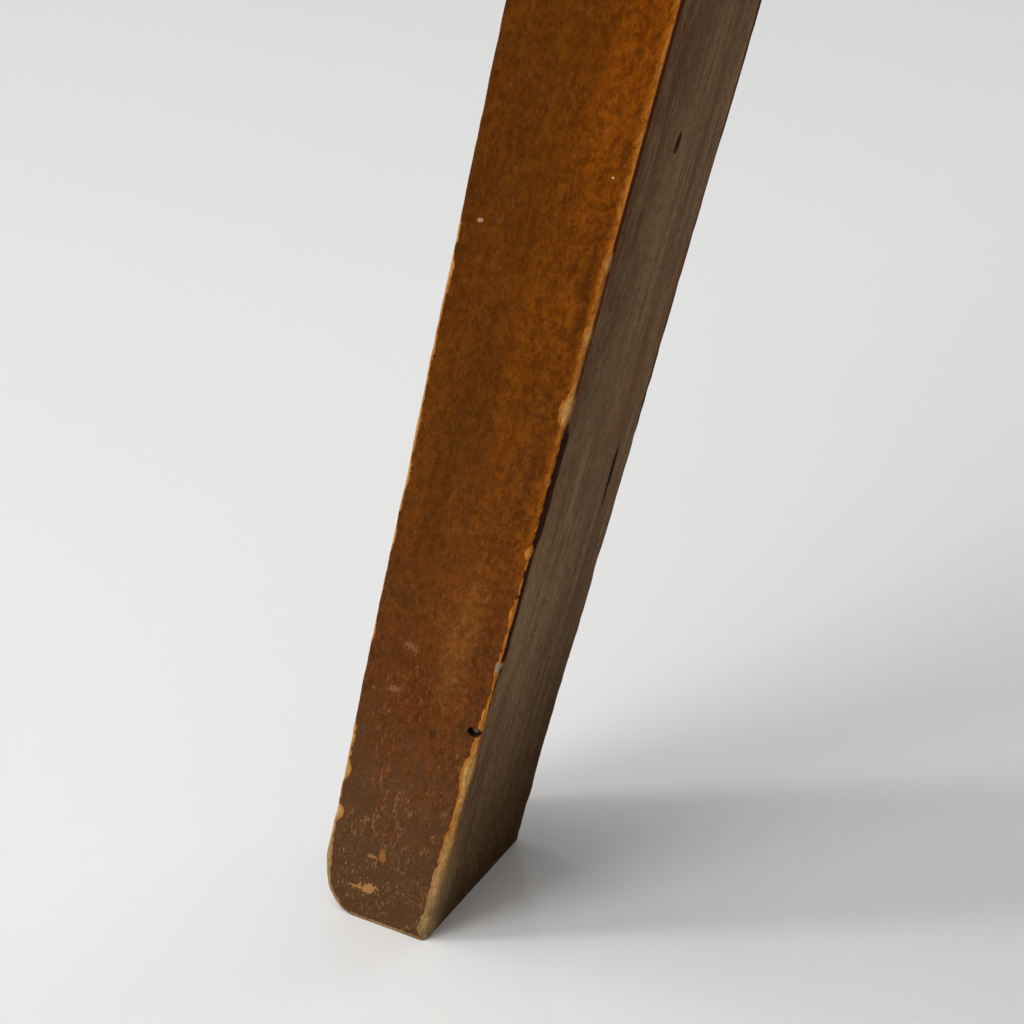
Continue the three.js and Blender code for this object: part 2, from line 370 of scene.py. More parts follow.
def worn_width(side, inner, positive, height):
    """How far bare wood reaches from one long edge of a leg, in metres."""
    z = np.asarray(height, float) / MM
    seed = edge_seed(side, inner, positive)
    if side == "left" and positive:
        stretches, chips = (NEAR_EDGE, NEAR_EDGE_CHIPS) if inner else (FAR_EDGE, FAR_EDGE_CHIPS)
    else:
        stretches, chips = random_edge(seed)
    width = 0.5 + wander(z, seed, 4.3, 0.16) + wander(z, seed + 100, 1.7, 0.14)
    for low, high, size in stretches:
        width = width + size * between(z, low, high, 3) * (1 + wander(z, seed + 200, 5.3, 0.3))
    for centre, size, half_length in chips:
        width = width + size * np.exp(-(((z - centre) / half_length) ** 4))
    return np.clip(width, -0.3, None) * MM


def run_width(side, positive, height):
    """How far the varnish ran over an edge onto a leg's inner face, in metres."""
    z = np.asarray(height, float) / MM
    seed = 300 + edge_seed(side, True, positive)
    runs = NEAR_EDGE_RUNS
    if side != "left" or not positive:
        start, end = np.random.default_rng(seed).uniform((60, 200), (150, 400))
        runs = [(start, end, 1.1), (end, 420, 0.6)]
    width = 0.25 + wander(z, seed, 7, 0.15) + wander(z, seed + 1, 2, 0.12)
    for low, high, size in runs:
        width = width + size * between(z, low, high, 4)
    return np.clip(width, 0, None) * MM


def face_columns(length_steps):
    """Columns across a face: (distance from its first edge, distance from its last, share between)."""
    near = int(round(EDGE_ZONE / EDGE_STEP))
    first = [(i * EDGE_STEP, None, None) for i in range(near)]
    middle = [(None, None, i / length_steps) for i in range(length_steps + 1)]
    last = [(None, (near - i) * EDGE_STEP, None) for i in range(1, near)]
    return first + middle + last


def column_place(column, length):
    """Where a column lies on a face of this length, measured from its first edge."""
    from_first, from_last, share = column
    if from_first is not None:
        return from_first + 0 * length
    if from_last is not None:
        return length - from_last
    return EDGE_ZONE + share * (length - 2 * EDGE_ZONE)


def toe_loss(height, width, tall):
    """How much an edge rounded over width and height has lost at this height."""
    part = np.clip(1 - height / tall, 0, 1)
    return width * (1 - np.sqrt(1 - part * part))


def leg_rows():
    turn = np.linspace(0, math.pi / 2, TOE_ROWS)
    toe = TOE_HEIGHT * (1 - np.cos(turn))
    count = int((LEG_TOP - TOE_HEIGHT) / ROW_STEP)
    return np.concatenate([toe, np.linspace(TOE_HEIGHT, LEG_TOP, count)[1:]])


def rounded_corner(distance, radius):
    """A point this far from a corner, moved onto its rounding: (along the face, into the wood)."""
    inside = distance < radius
    turn = np.where(inside, (1 - distance / radius) * math.pi / 4, 0)
    along = np.where(inside, radius * (1 - np.sin(turn)), distance)
    return along, np.where(inside, radius * (1 - np.cos(turn)), 0)


def edge_roundings(side, rows):
    """How round each long edge is at each row."""
    made = {}
    for inner, positive in EDGES:
        worn = np.maximum(worn_width(side, inner, positive, rows), LEAST_WORN)
        gone = worn * (INNER_WORN_AWAY if inner else OUTER_WORN_AWAY)
        line = wander(rows / MM, 400 + edge_seed(side, inner, positive), 3.1, EDGE_UNEVEN)
        made[inner, positive] = gone + line + EDGE_UNEVEN
    return made


def leg_mesh(side):
    """A leg as rows of points round its section: side face, outer face, other side, inner face."""
    rows = leg_rows()
    inner = inner_radius(rows) + toe_loss(rows, SOLE_ROUND, 1.5 * SOLE_ROUND)
    outer = outer_radius(rows) - toe_loss(rows, TOE_WIDTH, TOE_HEIGHT)
    half = LEG_HALF - toe_loss(rows, SOLE_ROUND, SOLE_ROUND)
    depth_steps = int(round((outer_radius(0) - inner_radius(0) - 2 * EDGE_ZONE) / FACE_STEP))
    width_steps = int(round((2 * LEG_HALF - 2 * EDGE_ZONE) / FACE_STEP))
    depth_columns, width_columns = face_columns(depth_steps), face_columns(width_steps)
    worn = edge_roundings(side, rows)
    deep, wide = outer - inner, 2 * half
    # Each face: its columns and length, its first and last edge, and how to place a point on it.
    faces = [
        (depth_columns, deep, (True, True), (False, True), lambda a, d: (inner + a, half - d)),
        (width_columns, wide, (False, True), (False, False), lambda a, d: (outer - d, half - a)),
        (depth_columns, deep, (False, False), (True, False), lambda a, d: (outer - a, d - half)),
        (width_columns, wide, (True, False), (True, True), lambda a, d: (inner + d, a - half)),
    ]
    ring = []
    for columns, length, first, last, place in faces:
        for column in columns:
            along = column_place(column, length)
            moved, into = rounded_corner(along, worn[first])
            from_end, into_end = rounded_corner(length - moved, worn[last])
            radius, sideways = place(length - from_end, into + into_end)
            ring.append(np.stack([radius, sideways, rows], axis=-1))
    grid = np.stack(ring, axis=1)
    grid = grid + uneven(grid, side)
    count = grid.shape[1]
    quads = ring_quads(len(rows), count)
    points = [tuple(p) for p in from_leg(side, grid).reshape(-1, 3)]
    top = (len(rows) - 1) * count
    caps = end_grid(points, 0, len(depth_columns), len(width_columns))
    caps += end_grid(points, top, len(depth_columns), len(width_columns))
    return outward(new_object(f"visual_leg_{side}", points, quads + caps))


def end_grid(points, start, across, along):
    """Closes one end of the ring of points that begins at start with a grid of quads."""
    side_a = [start + i for i in range(across + 1)]
    outer = [start + across + i for i in range(along + 1)]
    side_b = [start + 2 * across + along - i for i in range(across + 1)]
    inner = [start] + [start + 2 * (across + along) - i for i in range(1, along + 1)]
    rows = [side_a]
    for j in range(1, along):
        share = j / along
        row = [inner[j]]
        for i in range(1, across):
            a = Vector(points[inner[j]]).lerp(Vector(points[outer[j]]), i / across)
            b = Vector(points[side_a[i]]).lerp(Vector(points[side_b[i]]), share)
            corner = Vector(points[side_a[0]]).lerp(Vector(points[side_b[0]]), share)
            far = Vector(points[side_a[-1]]).lerp(Vector(points[side_b[-1]]), share)
            points.append(tuple(a + b - corner.lerp(far, i / across)))
            row.append(len(points) - 1)
        row.append(outer[j])
        rows.append(row)
    rows.append(side_b)
    return [
        (rows[j][i], rows[j][i + 1], rows[j + 1][i + 1], rows[j + 1][i])
        for j in range(along)
        for i in range(across)
    ]


def uneven(grid, side):
    """The slight waves of a hand-planed and varnished surface, none at the floor or the joint."""
    z = grid[..., 2] / MM
    seed = 50 + SIDES.index(side)
    long_wave = wander(z + 3 * grid[..., 1] / MM, seed, 37, LONG_WAVE)
    waves = long_wave + wander(z, seed + 7, 11, SHORT_WAVE)
    fade = rise(z, 15, 30) * (1 - rise(z, 350, 370))
    # Never outwards: the least that is taken away is nothing.
    taken = (waves + (LONG_WAVE + SHORT_WAVE)) * fade * MM
    middle = (inner_radius(grid[..., 2]) + outer_radius(grid[..., 2])) / 2
    moved = np.zeros_like(grid)
    moved[..., 0] = -np.sign(grid[..., 0] - middle) * taken
    moved[..., 1] = -np.sign(grid[..., 1]) * taken
    return moved


def peg_place(level):
    """A CAD peg's centre as (radius, height)."""
    low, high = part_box(f"peg_{level}_front")
    middle = (low + high) / 2
    return float(to_leg("front", middle)[0]), (low.z + high.z) / 2


PEG_PLACES = {level: peg_place(level) for level in ("upper", "lower")}
PEG_RADIUS = half_size("peg_lower_front", 2)
ARM_BOTTOM, ARM_TOP = (corner.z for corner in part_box("bearer_arm_front"))


def peg_holes(side):
    return [
        leg_prism("peg_hole", side, circle(place, PEG_RADIUS + GAP / 2), LEG_HALF + OVERRUN)
        for place in PEG_PLACES.values()
    ]


def tongue_slot(side):
    low = (inner_radius(ARM_TOP) - OVERRUN, ARM_BOTTOM - GAP)
    high = (outer_radius(ARM_BOTTOM) + OVERRUN, LEG_TOP + OVERRUN)
    return leg_prism("slot", side, rectangle(low, high), TONGUE_SLOT / 2)


def drying_crack(side, sideways, height, length, width, depth):
    """A thin two-pointed wedge in a leg's inner face, to be cut out of it."""
    steps = 12
    slant = 0.11
    points = []
    for i in range(steps + 1):
        share = i / steps
        z = height + (share - 0.5) * length
        t = sideways + (share - 0.5) * slant * length + wander(i, 5, 2.3, 0.12 * MM)
        open_by = max(width / 2 * math.sin(math.pi * share) ** 0.7, 0.01 * MM)
        deep = max(depth * math.sin(math.pi * share), 0.05 * MM)
        r = inner_radius(z)
        outside = r - OVERRUN / 5
        section = [(outside, t - open_by, z), (outside, t + open_by, z), (r + deep, t, z)]
        points += [from_leg(side, place) for place in section]
    last = 3 * steps
    ends = [(2, 1, 0), (last, last + 1, last + 2)]
    return outward(new_object("crack", points, ring_quads(steps + 1, 3) + ends))


# The photographed leg's cut marks: (sideways, height) on its inner face, and (distance from the
# inner edge, height) on its side face; then their sizes.
CRACK_PLACE = (-13.6 * MM, 118 * MM)
CRACK_LENGTH, CRACK_WIDTH, CRACK_DEPTH = 17 * MM, 1.0 * MM, 3 * MM
KNOT_PLACE = (3.3 * MM, 209 * MM)
KNOT_RADII = (0.6 * MM, 1.1 * MM, 2.5 * MM)
HOLE_PLACE = (1.9 * MM, 65.8 * MM)
HOLE_RADII = (1.58 * MM, 3 * MM, 1.3 * MM)


def photographed_marks(side):
    """The crack, the knot's dimple and the small hole, to be cut out of the photographed leg."""
    turn = Matrix.Rotation(leg_angle(side), 4, "Z")
    lean = Matrix.Rotation(math.atan(INNER_LINE[1]), 4, "Y")
    knot_t, knot_z = KNOT_PLACE
    knot_centre = from_leg(side, (inner_radius(knot_z) - 0.2 * MM, knot_t, knot_z))
    from_edge, hole_z = HOLE_PLACE
    hole_centre = from_leg(side, (inner_radius(hole_z) + from_edge, LEG_HALF, hole_z))
    knot = ball("knot", knot_centre, KNOT_RADII, turn @ lean)
    hole = ball("nail_hole", hole_centre, HOLE_RADII, turn)
    return [drying_crack(side, *CRACK_PLACE, CRACK_LENGTH, CRACK_WIDTH, CRACK_DEPTH), knot, hole]


def mark_leg(obj, side):
    """Stores how deep in a worn edge or a run each point is, and gives their places on the leg."""
    radius, sideways, height = to_leg(side, points_of(obj)).T
    from_inner = radius - inner_radius(height)
    from_outer = outer_radius(height) - toe_loss(height, TOE_WIDTH, TOE_HEIGHT) - radius
    from_side = LEG_HALF - np.abs(sideways)
    # An edge is where two faces meet, so the second nearest face is as far off as the nearest edge.
    from_edge = np.sort([from_inner, from_outer, from_side, height], axis=0)[1]
    on_inner, positive = from_inner < from_outer, sideways > 0
    run = np.where(positive, run_width(side, True, height), run_width(side, False, height))
    worn = np.zeros_like(height)
    for edge in EDGES:
        at_edge = (on_inner == edge[0]) & (positive == edge[1])
        worn = np.where(at_edge, worn_width(side, *edge, height), worn)
    at_sole = height < np.minimum(from_inner, from_outer)
    worn = np.where(at_sole, np.where(on_inner, INNER_SOLE_WEAR, OUTER_SOLE_WEAR) * worn, worn)
    put_attribute(obj, "bare", (worn - from_edge) / MM)
    put_attribute(obj, "run", (run - from_side) / MM)
    put_attribute(obj, "photographed", np.full(len(height), float(side == "left")))
    return np.stack([from_inner, sideways, height], axis=-1) / MM


def make_nail():
    """The small dented head of a nail, sunk in the photographed leg's hole."""
    from_edge, hole_z = HOLE_PLACE
    radius, sunk, thick = 1.0 * MM, 1.1 * MM, 1.4 * MM
    r = inner_radius(hole_z) + from_edge + 0.1 * MM

    def to_point(along, a, b):
        dent = wander((a * 3 + b * 5) / MM, 71, 1.1, 0.22 * MM) * (along == 0)
        return from_leg("left", (r + a, LEG_HALF - sunk - along - dent, hole_z + b))

    profile = [(0, 0.2 * radius), (0, 0.6 * radius), (0.1 * MM, 0.9 * radius), (0.3 * MM, radius),
               (thick, radius)]
    nail = turned("visual_nail", profile, 24, to_point)
    points = points_of(nail) / MM
    put_attribute(nail, "place", points)
    put_attribute(nail, "grain", points * 1.7)
    nail.data.materials.append(MATERIALS["screw_steel"])
    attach(smooth(nail), "root")


def make_leg(side):
    leg = leg_mesh(side)
    cutters = [tongue_slot(side), *peg_holes(side)]
    if side == "left":
        cutters += photographed_marks(side)
    cut(leg, *cutters)
    place = mark_leg(leg, side)
    grain = place + APART["leg"] * (1 + SIDES.index(side))
    finish_piece(leg, f"leg_{side}", "leg_wood", place, grain)


# --- Bearer, pegs and screws ----------------------------------------------------------------------

HUB_FLAT = AXIS.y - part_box("hub_block")[0].y
ARM_HALF = half_size("bearer_arm_front", 0)
ARM_MIDDLE = (ARM_BOTTOM + ARM_TOP) / 2
STUB_INNER = AXIS.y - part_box("bearer_arm_front")[1].y
STUB_HALF_HEIGHT = 15 * MM
TONGUE_HALF = TONGUE_SLOT / 2 - GAP
FIRST_PEG_SEED = 500


def screw_radius(name):
    """How far from the stool's axis the front arm's inner or outer screw is."""
    low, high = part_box(f"screw_{name}_front")
    return AXIS.y - (low.y + high.y) / 2


SCREW_RADII = {name: screw_radius(name) for name in ("inner", "outer")}
SCREW_BOTTOM, SCREW_TIP = (corner.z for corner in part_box("screw_hub"))
SCREW_HEAD = half_size("screw_hub", 0)
SCREW_SHANK = SCREW_HEAD / 2
SCREW_RECESS = SCREW_HEAD + 1 * MM
HEAD_HEIGHT = 3 * MM


def screw_places(side):
    """Where an arm's screws are, as (x, y) pairs."""
    return [tuple(from_leg(side, (radius, 0, 0))[:2]) for radius in SCREW_RADII.values()]


def screw_room(x, y):
    """What a screw takes out of the bearer: the recess below it, its countersink and its hole."""
    hole = SCREW_SHANK + GAP
    profile = [
        (ARM_BOTTOM - OVERRUN, SCREW_RECESS), (SCREW_BOTTOM + 2 * GAP, SCREW_RECESS),
        (SCREW_BOTTOM + 2 * GAP, SCREW_HEAD + GAP), (SCREW_BOTTOM + HEAD_HEIGHT + 3 * GAP, hole),
        (ARM_TOP + OVERRUN, hole),
    ]
    return turned("screw_room", profile, 40, lambda z, a, b: (x + a, y + b, z))


def arm_mesh(side):
    """A square bar with a tongue for its leg's slot and a stub tenon for the hub."""
    start = HUB_FLAT + GAP
    reach = HUB_FLAT + OVERRUN
    bar = leg_prism(f"visual_bearer_arm_{side}", side, [
        (start, ARM_BOTTOM), (inner_radius(ARM_BOTTOM) - GAP, ARM_BOTTOM),
        (inner_radius(ARM_TOP) - GAP, ARM_TOP), (start, ARM_TOP),
    ], ARM_HALF)
    tongue = leg_prism("tongue", side, [
        (reach, ARM_BOTTOM), (outer_radius(ARM_BOTTOM), ARM_BOTTOM),
        (outer_radius(ARM_TOP), ARM_TOP), (reach, ARM_TOP),
    ], TONGUE_HALF)
    outline = rectangle((STUB_INNER, ARM_MIDDLE - STUB_HALF_HEIGHT),
                        (reach, ARM_MIDDLE + STUB_HALF_HEIGHT))
    stub = leg_prism("stub", side, outline, TONGUE_HALF)
    join(bevel(bar, 0.9 * MM), bevel(tongue, 0.5 * MM), bevel(stub, 0.5 * MM))
    return cut(bar, *peg_holes(side), *(screw_room(x, y) for x, y in screw_places(side)))


def make_arm(side):
    arm = arm_mesh(side)
    radius, sideways, height = to_leg(side, points_of(arm)).T
    place = np.stack([height - ARM_BOTTOM, sideways, radius], axis=-1) / MM
    grain = place + APART["arm"] * (1 + SIDES.index(side))
    finish_piece(arm, f"bearer_arm_{side}", "bearer_wood", place, grain)


def make_hub():
    """A hexagonal block with a mortise in each flat that faces a leg."""
    corner = HUB_FLAT / math.cos(math.pi / 6)
    hub = prism("visual_hub_block", circle((AXIS.x, AXIS.y), corner, 6), ARM_BOTTOM, ARM_TOP)
    bevel(hub, 1.2 * MM)
    outline = rectangle((STUB_INNER - GAP, ARM_MIDDLE - STUB_HALF_HEIGHT - GAP),
                        (HUB_FLAT + OVERRUN, ARM_MIDDLE + STUB_HALF_HEIGHT + GAP))
    mortises = [leg_prism("mortise", side, outline, TONGUE_SLOT / 2) for side in SIDES]
    cut(hub, *mortises, screw_room(AXIS.x, AXIS.y))
    x, y, z = (points_of(hub) - AXIS).T
    away = [np.abs(x * math.cos(angle) + y * math.sin(angle)) for angle in map(leg_angle, SIDES)]
    # The bearer's material takes a place within ARM_HALF of the middle, so the flats are put there.
    flats = np.max(away, axis=0) - HUB_FLAT + ARM_HALF
    place = np.stack([z - ARM_BOTTOM, flats, x], axis=-1) / MM
    grain = np.stack([z, y, x], axis=-1) / MM + APART["hub"]
    finish_piece(hub, "hub_block", "bearer_wood", place, grain)


def peg_profile(half):
    """A peg as (place along it, radius) pairs: nearly flat ends with a worn round edge."""
    dome = 0.9 * MM
    crown = 0.1 * MM
    middle = [(half - crown * share, share * (PEG_RADIUS - dome)) for share in (0.12, 0.4, 0.75)]
    rim = [(half - crown - dome * (1 - math.cos(a)), PEG_RADIUS - dome * (1 - math.sin(a)))
           for a in np.linspace(0, math.pi / 2, 7)]
    end = middle + rim
    shaft = [(half * share, PEG_RADIUS) for share in np.linspace(0.9, -0.9, 19)]
    return end + shaft + [(-along, radius) for along, radius in end[::-1]]


def make_peg(level, side):
    """A whittled peg, not quite round, whose ends are cut nearly flush with the leg."""
    number = 10 * SIDES.index(side) + (level == "upper")
    seed = FIRST_PEG_SEED + number
    r, z = PEG_PLACES[level]

    def to_point(along, a, b):
        turn = math.atan2(b, a)
        size = 0.96 + 0.02 * math.sin(5 * turn + seed) + 0.02 * math.sin(2 * turn)
        return from_leg(side, (r + a * size, along, z + b * size))

    profile = peg_profile(half_size(f"peg_{level}_front", 0))
    peg = turned(f"visual_peg_{level}_{side}", profile, 40, to_point)
    radius, sideways, height = to_leg(side, points_of(peg)).T
    place = np.stack([radius - r, height - z, sideways], axis=-1) / MM
    grain = place + APART["peg"] * (number + 1)
    finish_piece(peg, f"peg_{level}_{side}", "peg_wood", place, grain)


def make_screw(name, x, y, seed):
    """A slotted countersunk wood screw, head down: dished head, plain neck, thread, gimlet point."""
    pitch, core, steps = 1.8 * MM, 1.55 * MM, 32
    length = SCREW_TIP - SCREW_BOTTOM
    neck, point = 15 * MM, 5 * MM
    profile = [(0.25 * MM, 0.3 * MM), (0.15 * MM, SCREW_HEAD * 0.6), (0, SCREW_HEAD - 0.35 * MM),
               (0.15 * MM, SCREW_HEAD - 0.08 * MM), (0.4 * MM, SCREW_HEAD),
               (0.6 * MM, SCREW_HEAD - 0.15 * MM), (HEAD_HEIGHT, SCREW_SHANK),
               (neck - 0.5 * MM, SCREW_SHANK), (neck, SCREW_SHANK)]
    rows = int((length - neck) / (pitch / 8))
    profile += [(neck + (length - neck) * i / rows, SCREW_SHANK) for i in range(1, rows + 1)]
    turn = np.random.default_rng(seed).uniform(0, math.pi)

    def to_point(along, a, b):
        if along > neck:
            around = math.atan2(b, a) / (2 * math.pi)
            ridge = abs(2 * ((along / pitch - around) % 1) - 1) ** 2
            start = min(1, (along - neck) / pitch)
            taper = min(1, max(0.04, (length - along) / point))
            thread = core + (SCREW_SHANK - core) * ridge
            radius = ((1 - start) * SCREW_SHANK + start * thread) * taper
            scale = radius / math.hypot(a, b)
            a, b = a * scale, b * scale
        return x + a, y + b, SCREW_BOTTOM + along

    screw = turned(f"visual_{name}", profile, steps, to_point)
    half_width, depth = 0.6 * MM, 1.2 * MM
    low, high = (-2 * SCREW_HEAD, -half_width, -OVERRUN), (2 * SCREW_HEAD, half_width, depth)
    slot = block("slot", low, high)
    slot.data.transform(Matrix.Translation((x, y, SCREW_BOTTOM)) @ Matrix.Rotation(turn, 4, "Z"))
    cut(screw, slot)
    place = (points_of(screw) - np.array([x, y, SCREW_BOTTOM])) / MM
    finish_piece(screw, name, "screw_steel", place, place + APART["screw"] * seed, math.radians(28))


def make_screws():
    make_screw("screw_hub", AXIS.x, AXIS.y, 7)
    for side in SIDES:
        for number, (name, place) in enumerate(zip(SCREW_RADII, screw_places(side))):
            make_screw(f"screw_{name}_{side}", *place, 11 + 2 * SIDES.index(side) + number)


# --- Seat -----------------------------------------------------------------------------------------

SEAT_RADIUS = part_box("seat_board_middle")[1].x
SEAT_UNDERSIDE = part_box("seat_board_middle")[0].z
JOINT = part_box("seat_board_middle")[1].y - AXIS.y + GAP / 2
TOP_ROUND, UNDER_ROUND = 7 * MM, 3 * MM
SEAT_STEPS = 240


def seat_profile():
    """The seat's section as (radius, height) pairs, from the middle of its top round to below."""
    shares = (0.02, 0.1, 0.2, 0.3, 0.4, 0.5, 0.6, 0.68, 0.76, 0.83, 0.89)
    rings = [SEAT_RADIUS * share for share in shares]
    top = [(radius, SEAT_TOP) for radius in rings]
    for turn in np.linspace(0, math.pi / 2, 9):
        top.append((SEAT_RADIUS - TOP_ROUND * (1 - math.sin(turn)),
                    SEAT_TOP - TOP_ROUND * (1 - math.cos(turn))))
    for turn in np.linspace(0, math.pi / 2, 5):
        top.append((SEAT_RADIUS - UNDER_ROUND * (1 - math.cos(turn)),
                    SEAT_UNDERSIDE + UNDER_ROUND * (1 - math.sin(turn))))
    return top + [(radius, SEAT_UNDERSIDE) for radius in rings[::-1]]


def seat_disc(name):
    """The whole seat, very slightly dished, with knocks in its rim."""
    profile = seat_profile()
    dish, knock = 0.7 * MM, 0.5 * MM

    def to_point(i, a, b):
        radius, z = profile[int(i)]
        turn = math.atan2(b, a)
        arc = turn * SEAT_RADIUS / MM
        on_top = rise(z, SEAT_TOP - 0.5 * TOP_ROUND, SEAT_TOP)
        at_rim = rise(radius, SEAT_RADIUS - TOP_ROUND, SEAT_RADIUS)
        dent = knock * max(0.0, float(wander(arc, 61, 9, 1.3)) - 0.5) * at_rim
        sink = dish * on_top * (1 - rise(radius, 0.2 * SEAT_RADIUS, 0.93 * SEAT_RADIUS))
        wave = float(wander(arc + radius / MM, 62, 31, 0.1 * MM)) * on_top * (1 - at_rim)
        radius = radius - dent
        height = z - sink - abs(wave)
        return AXIS.x + radius * math.cos(turn), AXIS.y + radius * math.sin(turn), height

    return turned(name, [(i, 1) for i in range(len(profile))], SEAT_STEPS, to_point)


def joint_groove(y):
    """The stopped groove for a loose tongue along one glued joint."""
    low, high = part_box("seat_tongue_back")
    half_length, half_width = high.x + GAP, (high.y - low.y) / 2 + GAP
    return block("groove", (-half_length, AXIS.y + y - half_width, low.z - GAP),
                 (half_length, AXIS.y + y + half_width, high.z + GAP))


def screw_pilots():
    places = [(AXIS.x, AXIS.y)] + [place for side in SIDES for place in screw_places(side)]
    low, high = SEAT_UNDERSIDE - OVERRUN, SCREW_TIP + GAP
    return [prism("pilot", circle(place, SCREW_SHANK + GAP), low, high) for place in places]


def make_board(name, low, high, number):
    """One board of the seat, between two joints: cut from the disc, with eased joint edges."""
    reach = SEAT_RADIUS + OVERRUN
    board = seat_disc(f"visual_seat_board_{name}")
    strip = block("strip", (-reach, AXIS.y + low, SEAT_UNDERSIDE - OVERRUN),
                  (reach, AXIS.y + high, SEAT_TOP + OVERRUN))
    boolean(board, "INTERSECT", strip)
    cut(board, *eased_joints(low, high), joint_groove(-JOINT), joint_groove(JOINT), *screw_pilots())
    x, y, z = (points_of(board) - AXIS).T
    place = np.stack([x, y, z - SEAT_UNDERSIDE], axis=-1) / MM
    # Every second board is turned end for end.
    along = -1 if number % 2 else 1
    grain = place[:, [2, 1, 0]] * (1, 1, along) + APART["board"] * number
    finish_piece(board, f"seat_board_{name}", "seat_wood", place, grain)


def eased_joints(low, high):
    """Thin wedges that take the sharpness off a board's top edges along its joints."""
    width, depth, beyond = 0.45 * MM, 1.0 * MM, 0.05 * MM
    reach = SEAT_RADIUS + OVERRUN
    top = SEAT_TOP + 0.2 * MM
    wedges = []
    for y, inward in ((low, 1), (high, -1)):
        if abs(y) > JOINT + 1 * MM:
            continue
        outline = [(AXIS.y + y - inward * OVERRUN, top), (AXIS.y + y + inward * width, top),
                   (AXIS.y + y - inward * beyond, SEAT_TOP - depth)]
        wedges.append(prism("wedge", outline, -reach, reach, lambda a, b, x: (x, a, b)))
    return wedges


def make_seat():
    reach = SEAT_RADIUS + OVERRUN
    inside, outside = JOINT - GAP / 2, JOINT + GAP / 2
    make_board("front", -reach, -outside, 1)
    make_board("middle", -inside, inside, 2)
    make_board("back", outside, reach, 3)
    for name in ("front", "back"):
        low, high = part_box(f"seat_tongue_{name}")
        tongue = bevel(block(f"visual_seat_tongue_{name}", low, high), 0.4 * MM)
        place = points_of(tongue) / MM
        finish_piece(tongue, f"seat_tongue_{name}", "peg_wood", place, place[:, [2, 1, 0]])


# --- Materials ------------------------------------------------------------------------------------

# The shader's inputs, by the short names that the materials use.
SHADER_INPUTS = {"normal": "Normal", "specular": "Specular IOR Level", "tint": "Specular Tint",
                 "metallic": "Metallic"}


class Value:
    """What a node gives: it can be added, multiplied and subtracted like a number."""

    def __init__(self, tree, socket):
        self.tree = tree
        self.socket = socket

    def __add__(self, other):
        return self.tree.math("ADD", self, other)

    def __mul__(self, other):
        return self.tree.math("MULTIPLY", self, other)

    def __sub__(self, other):
        return self.tree.math("SUBTRACT", self, other)

    def __rsub__(self, other):
        return self.tree.math("SUBTRACT", other, self)

    def __abs__(self):
        return self.tree.math("ABSOLUTE", self)

    def rise(self, low, high, start=0.0, end=1.0):
        """start below low, end above high, and a smooth change between them."""
        inputs = dict(enumerate((self, low, high, start, end)))
        return self.tree.node("ShaderNodeMapRange", inputs, interpolation_type="SMOOTHSTEP")

    def between(self, low, high, blend):
        """1 between low and high and 0 outside, changing smoothly over blend."""
        return self.rise(low - blend, low + blend) * self.rise(high - blend, high + blend, 1.0, 0.0)


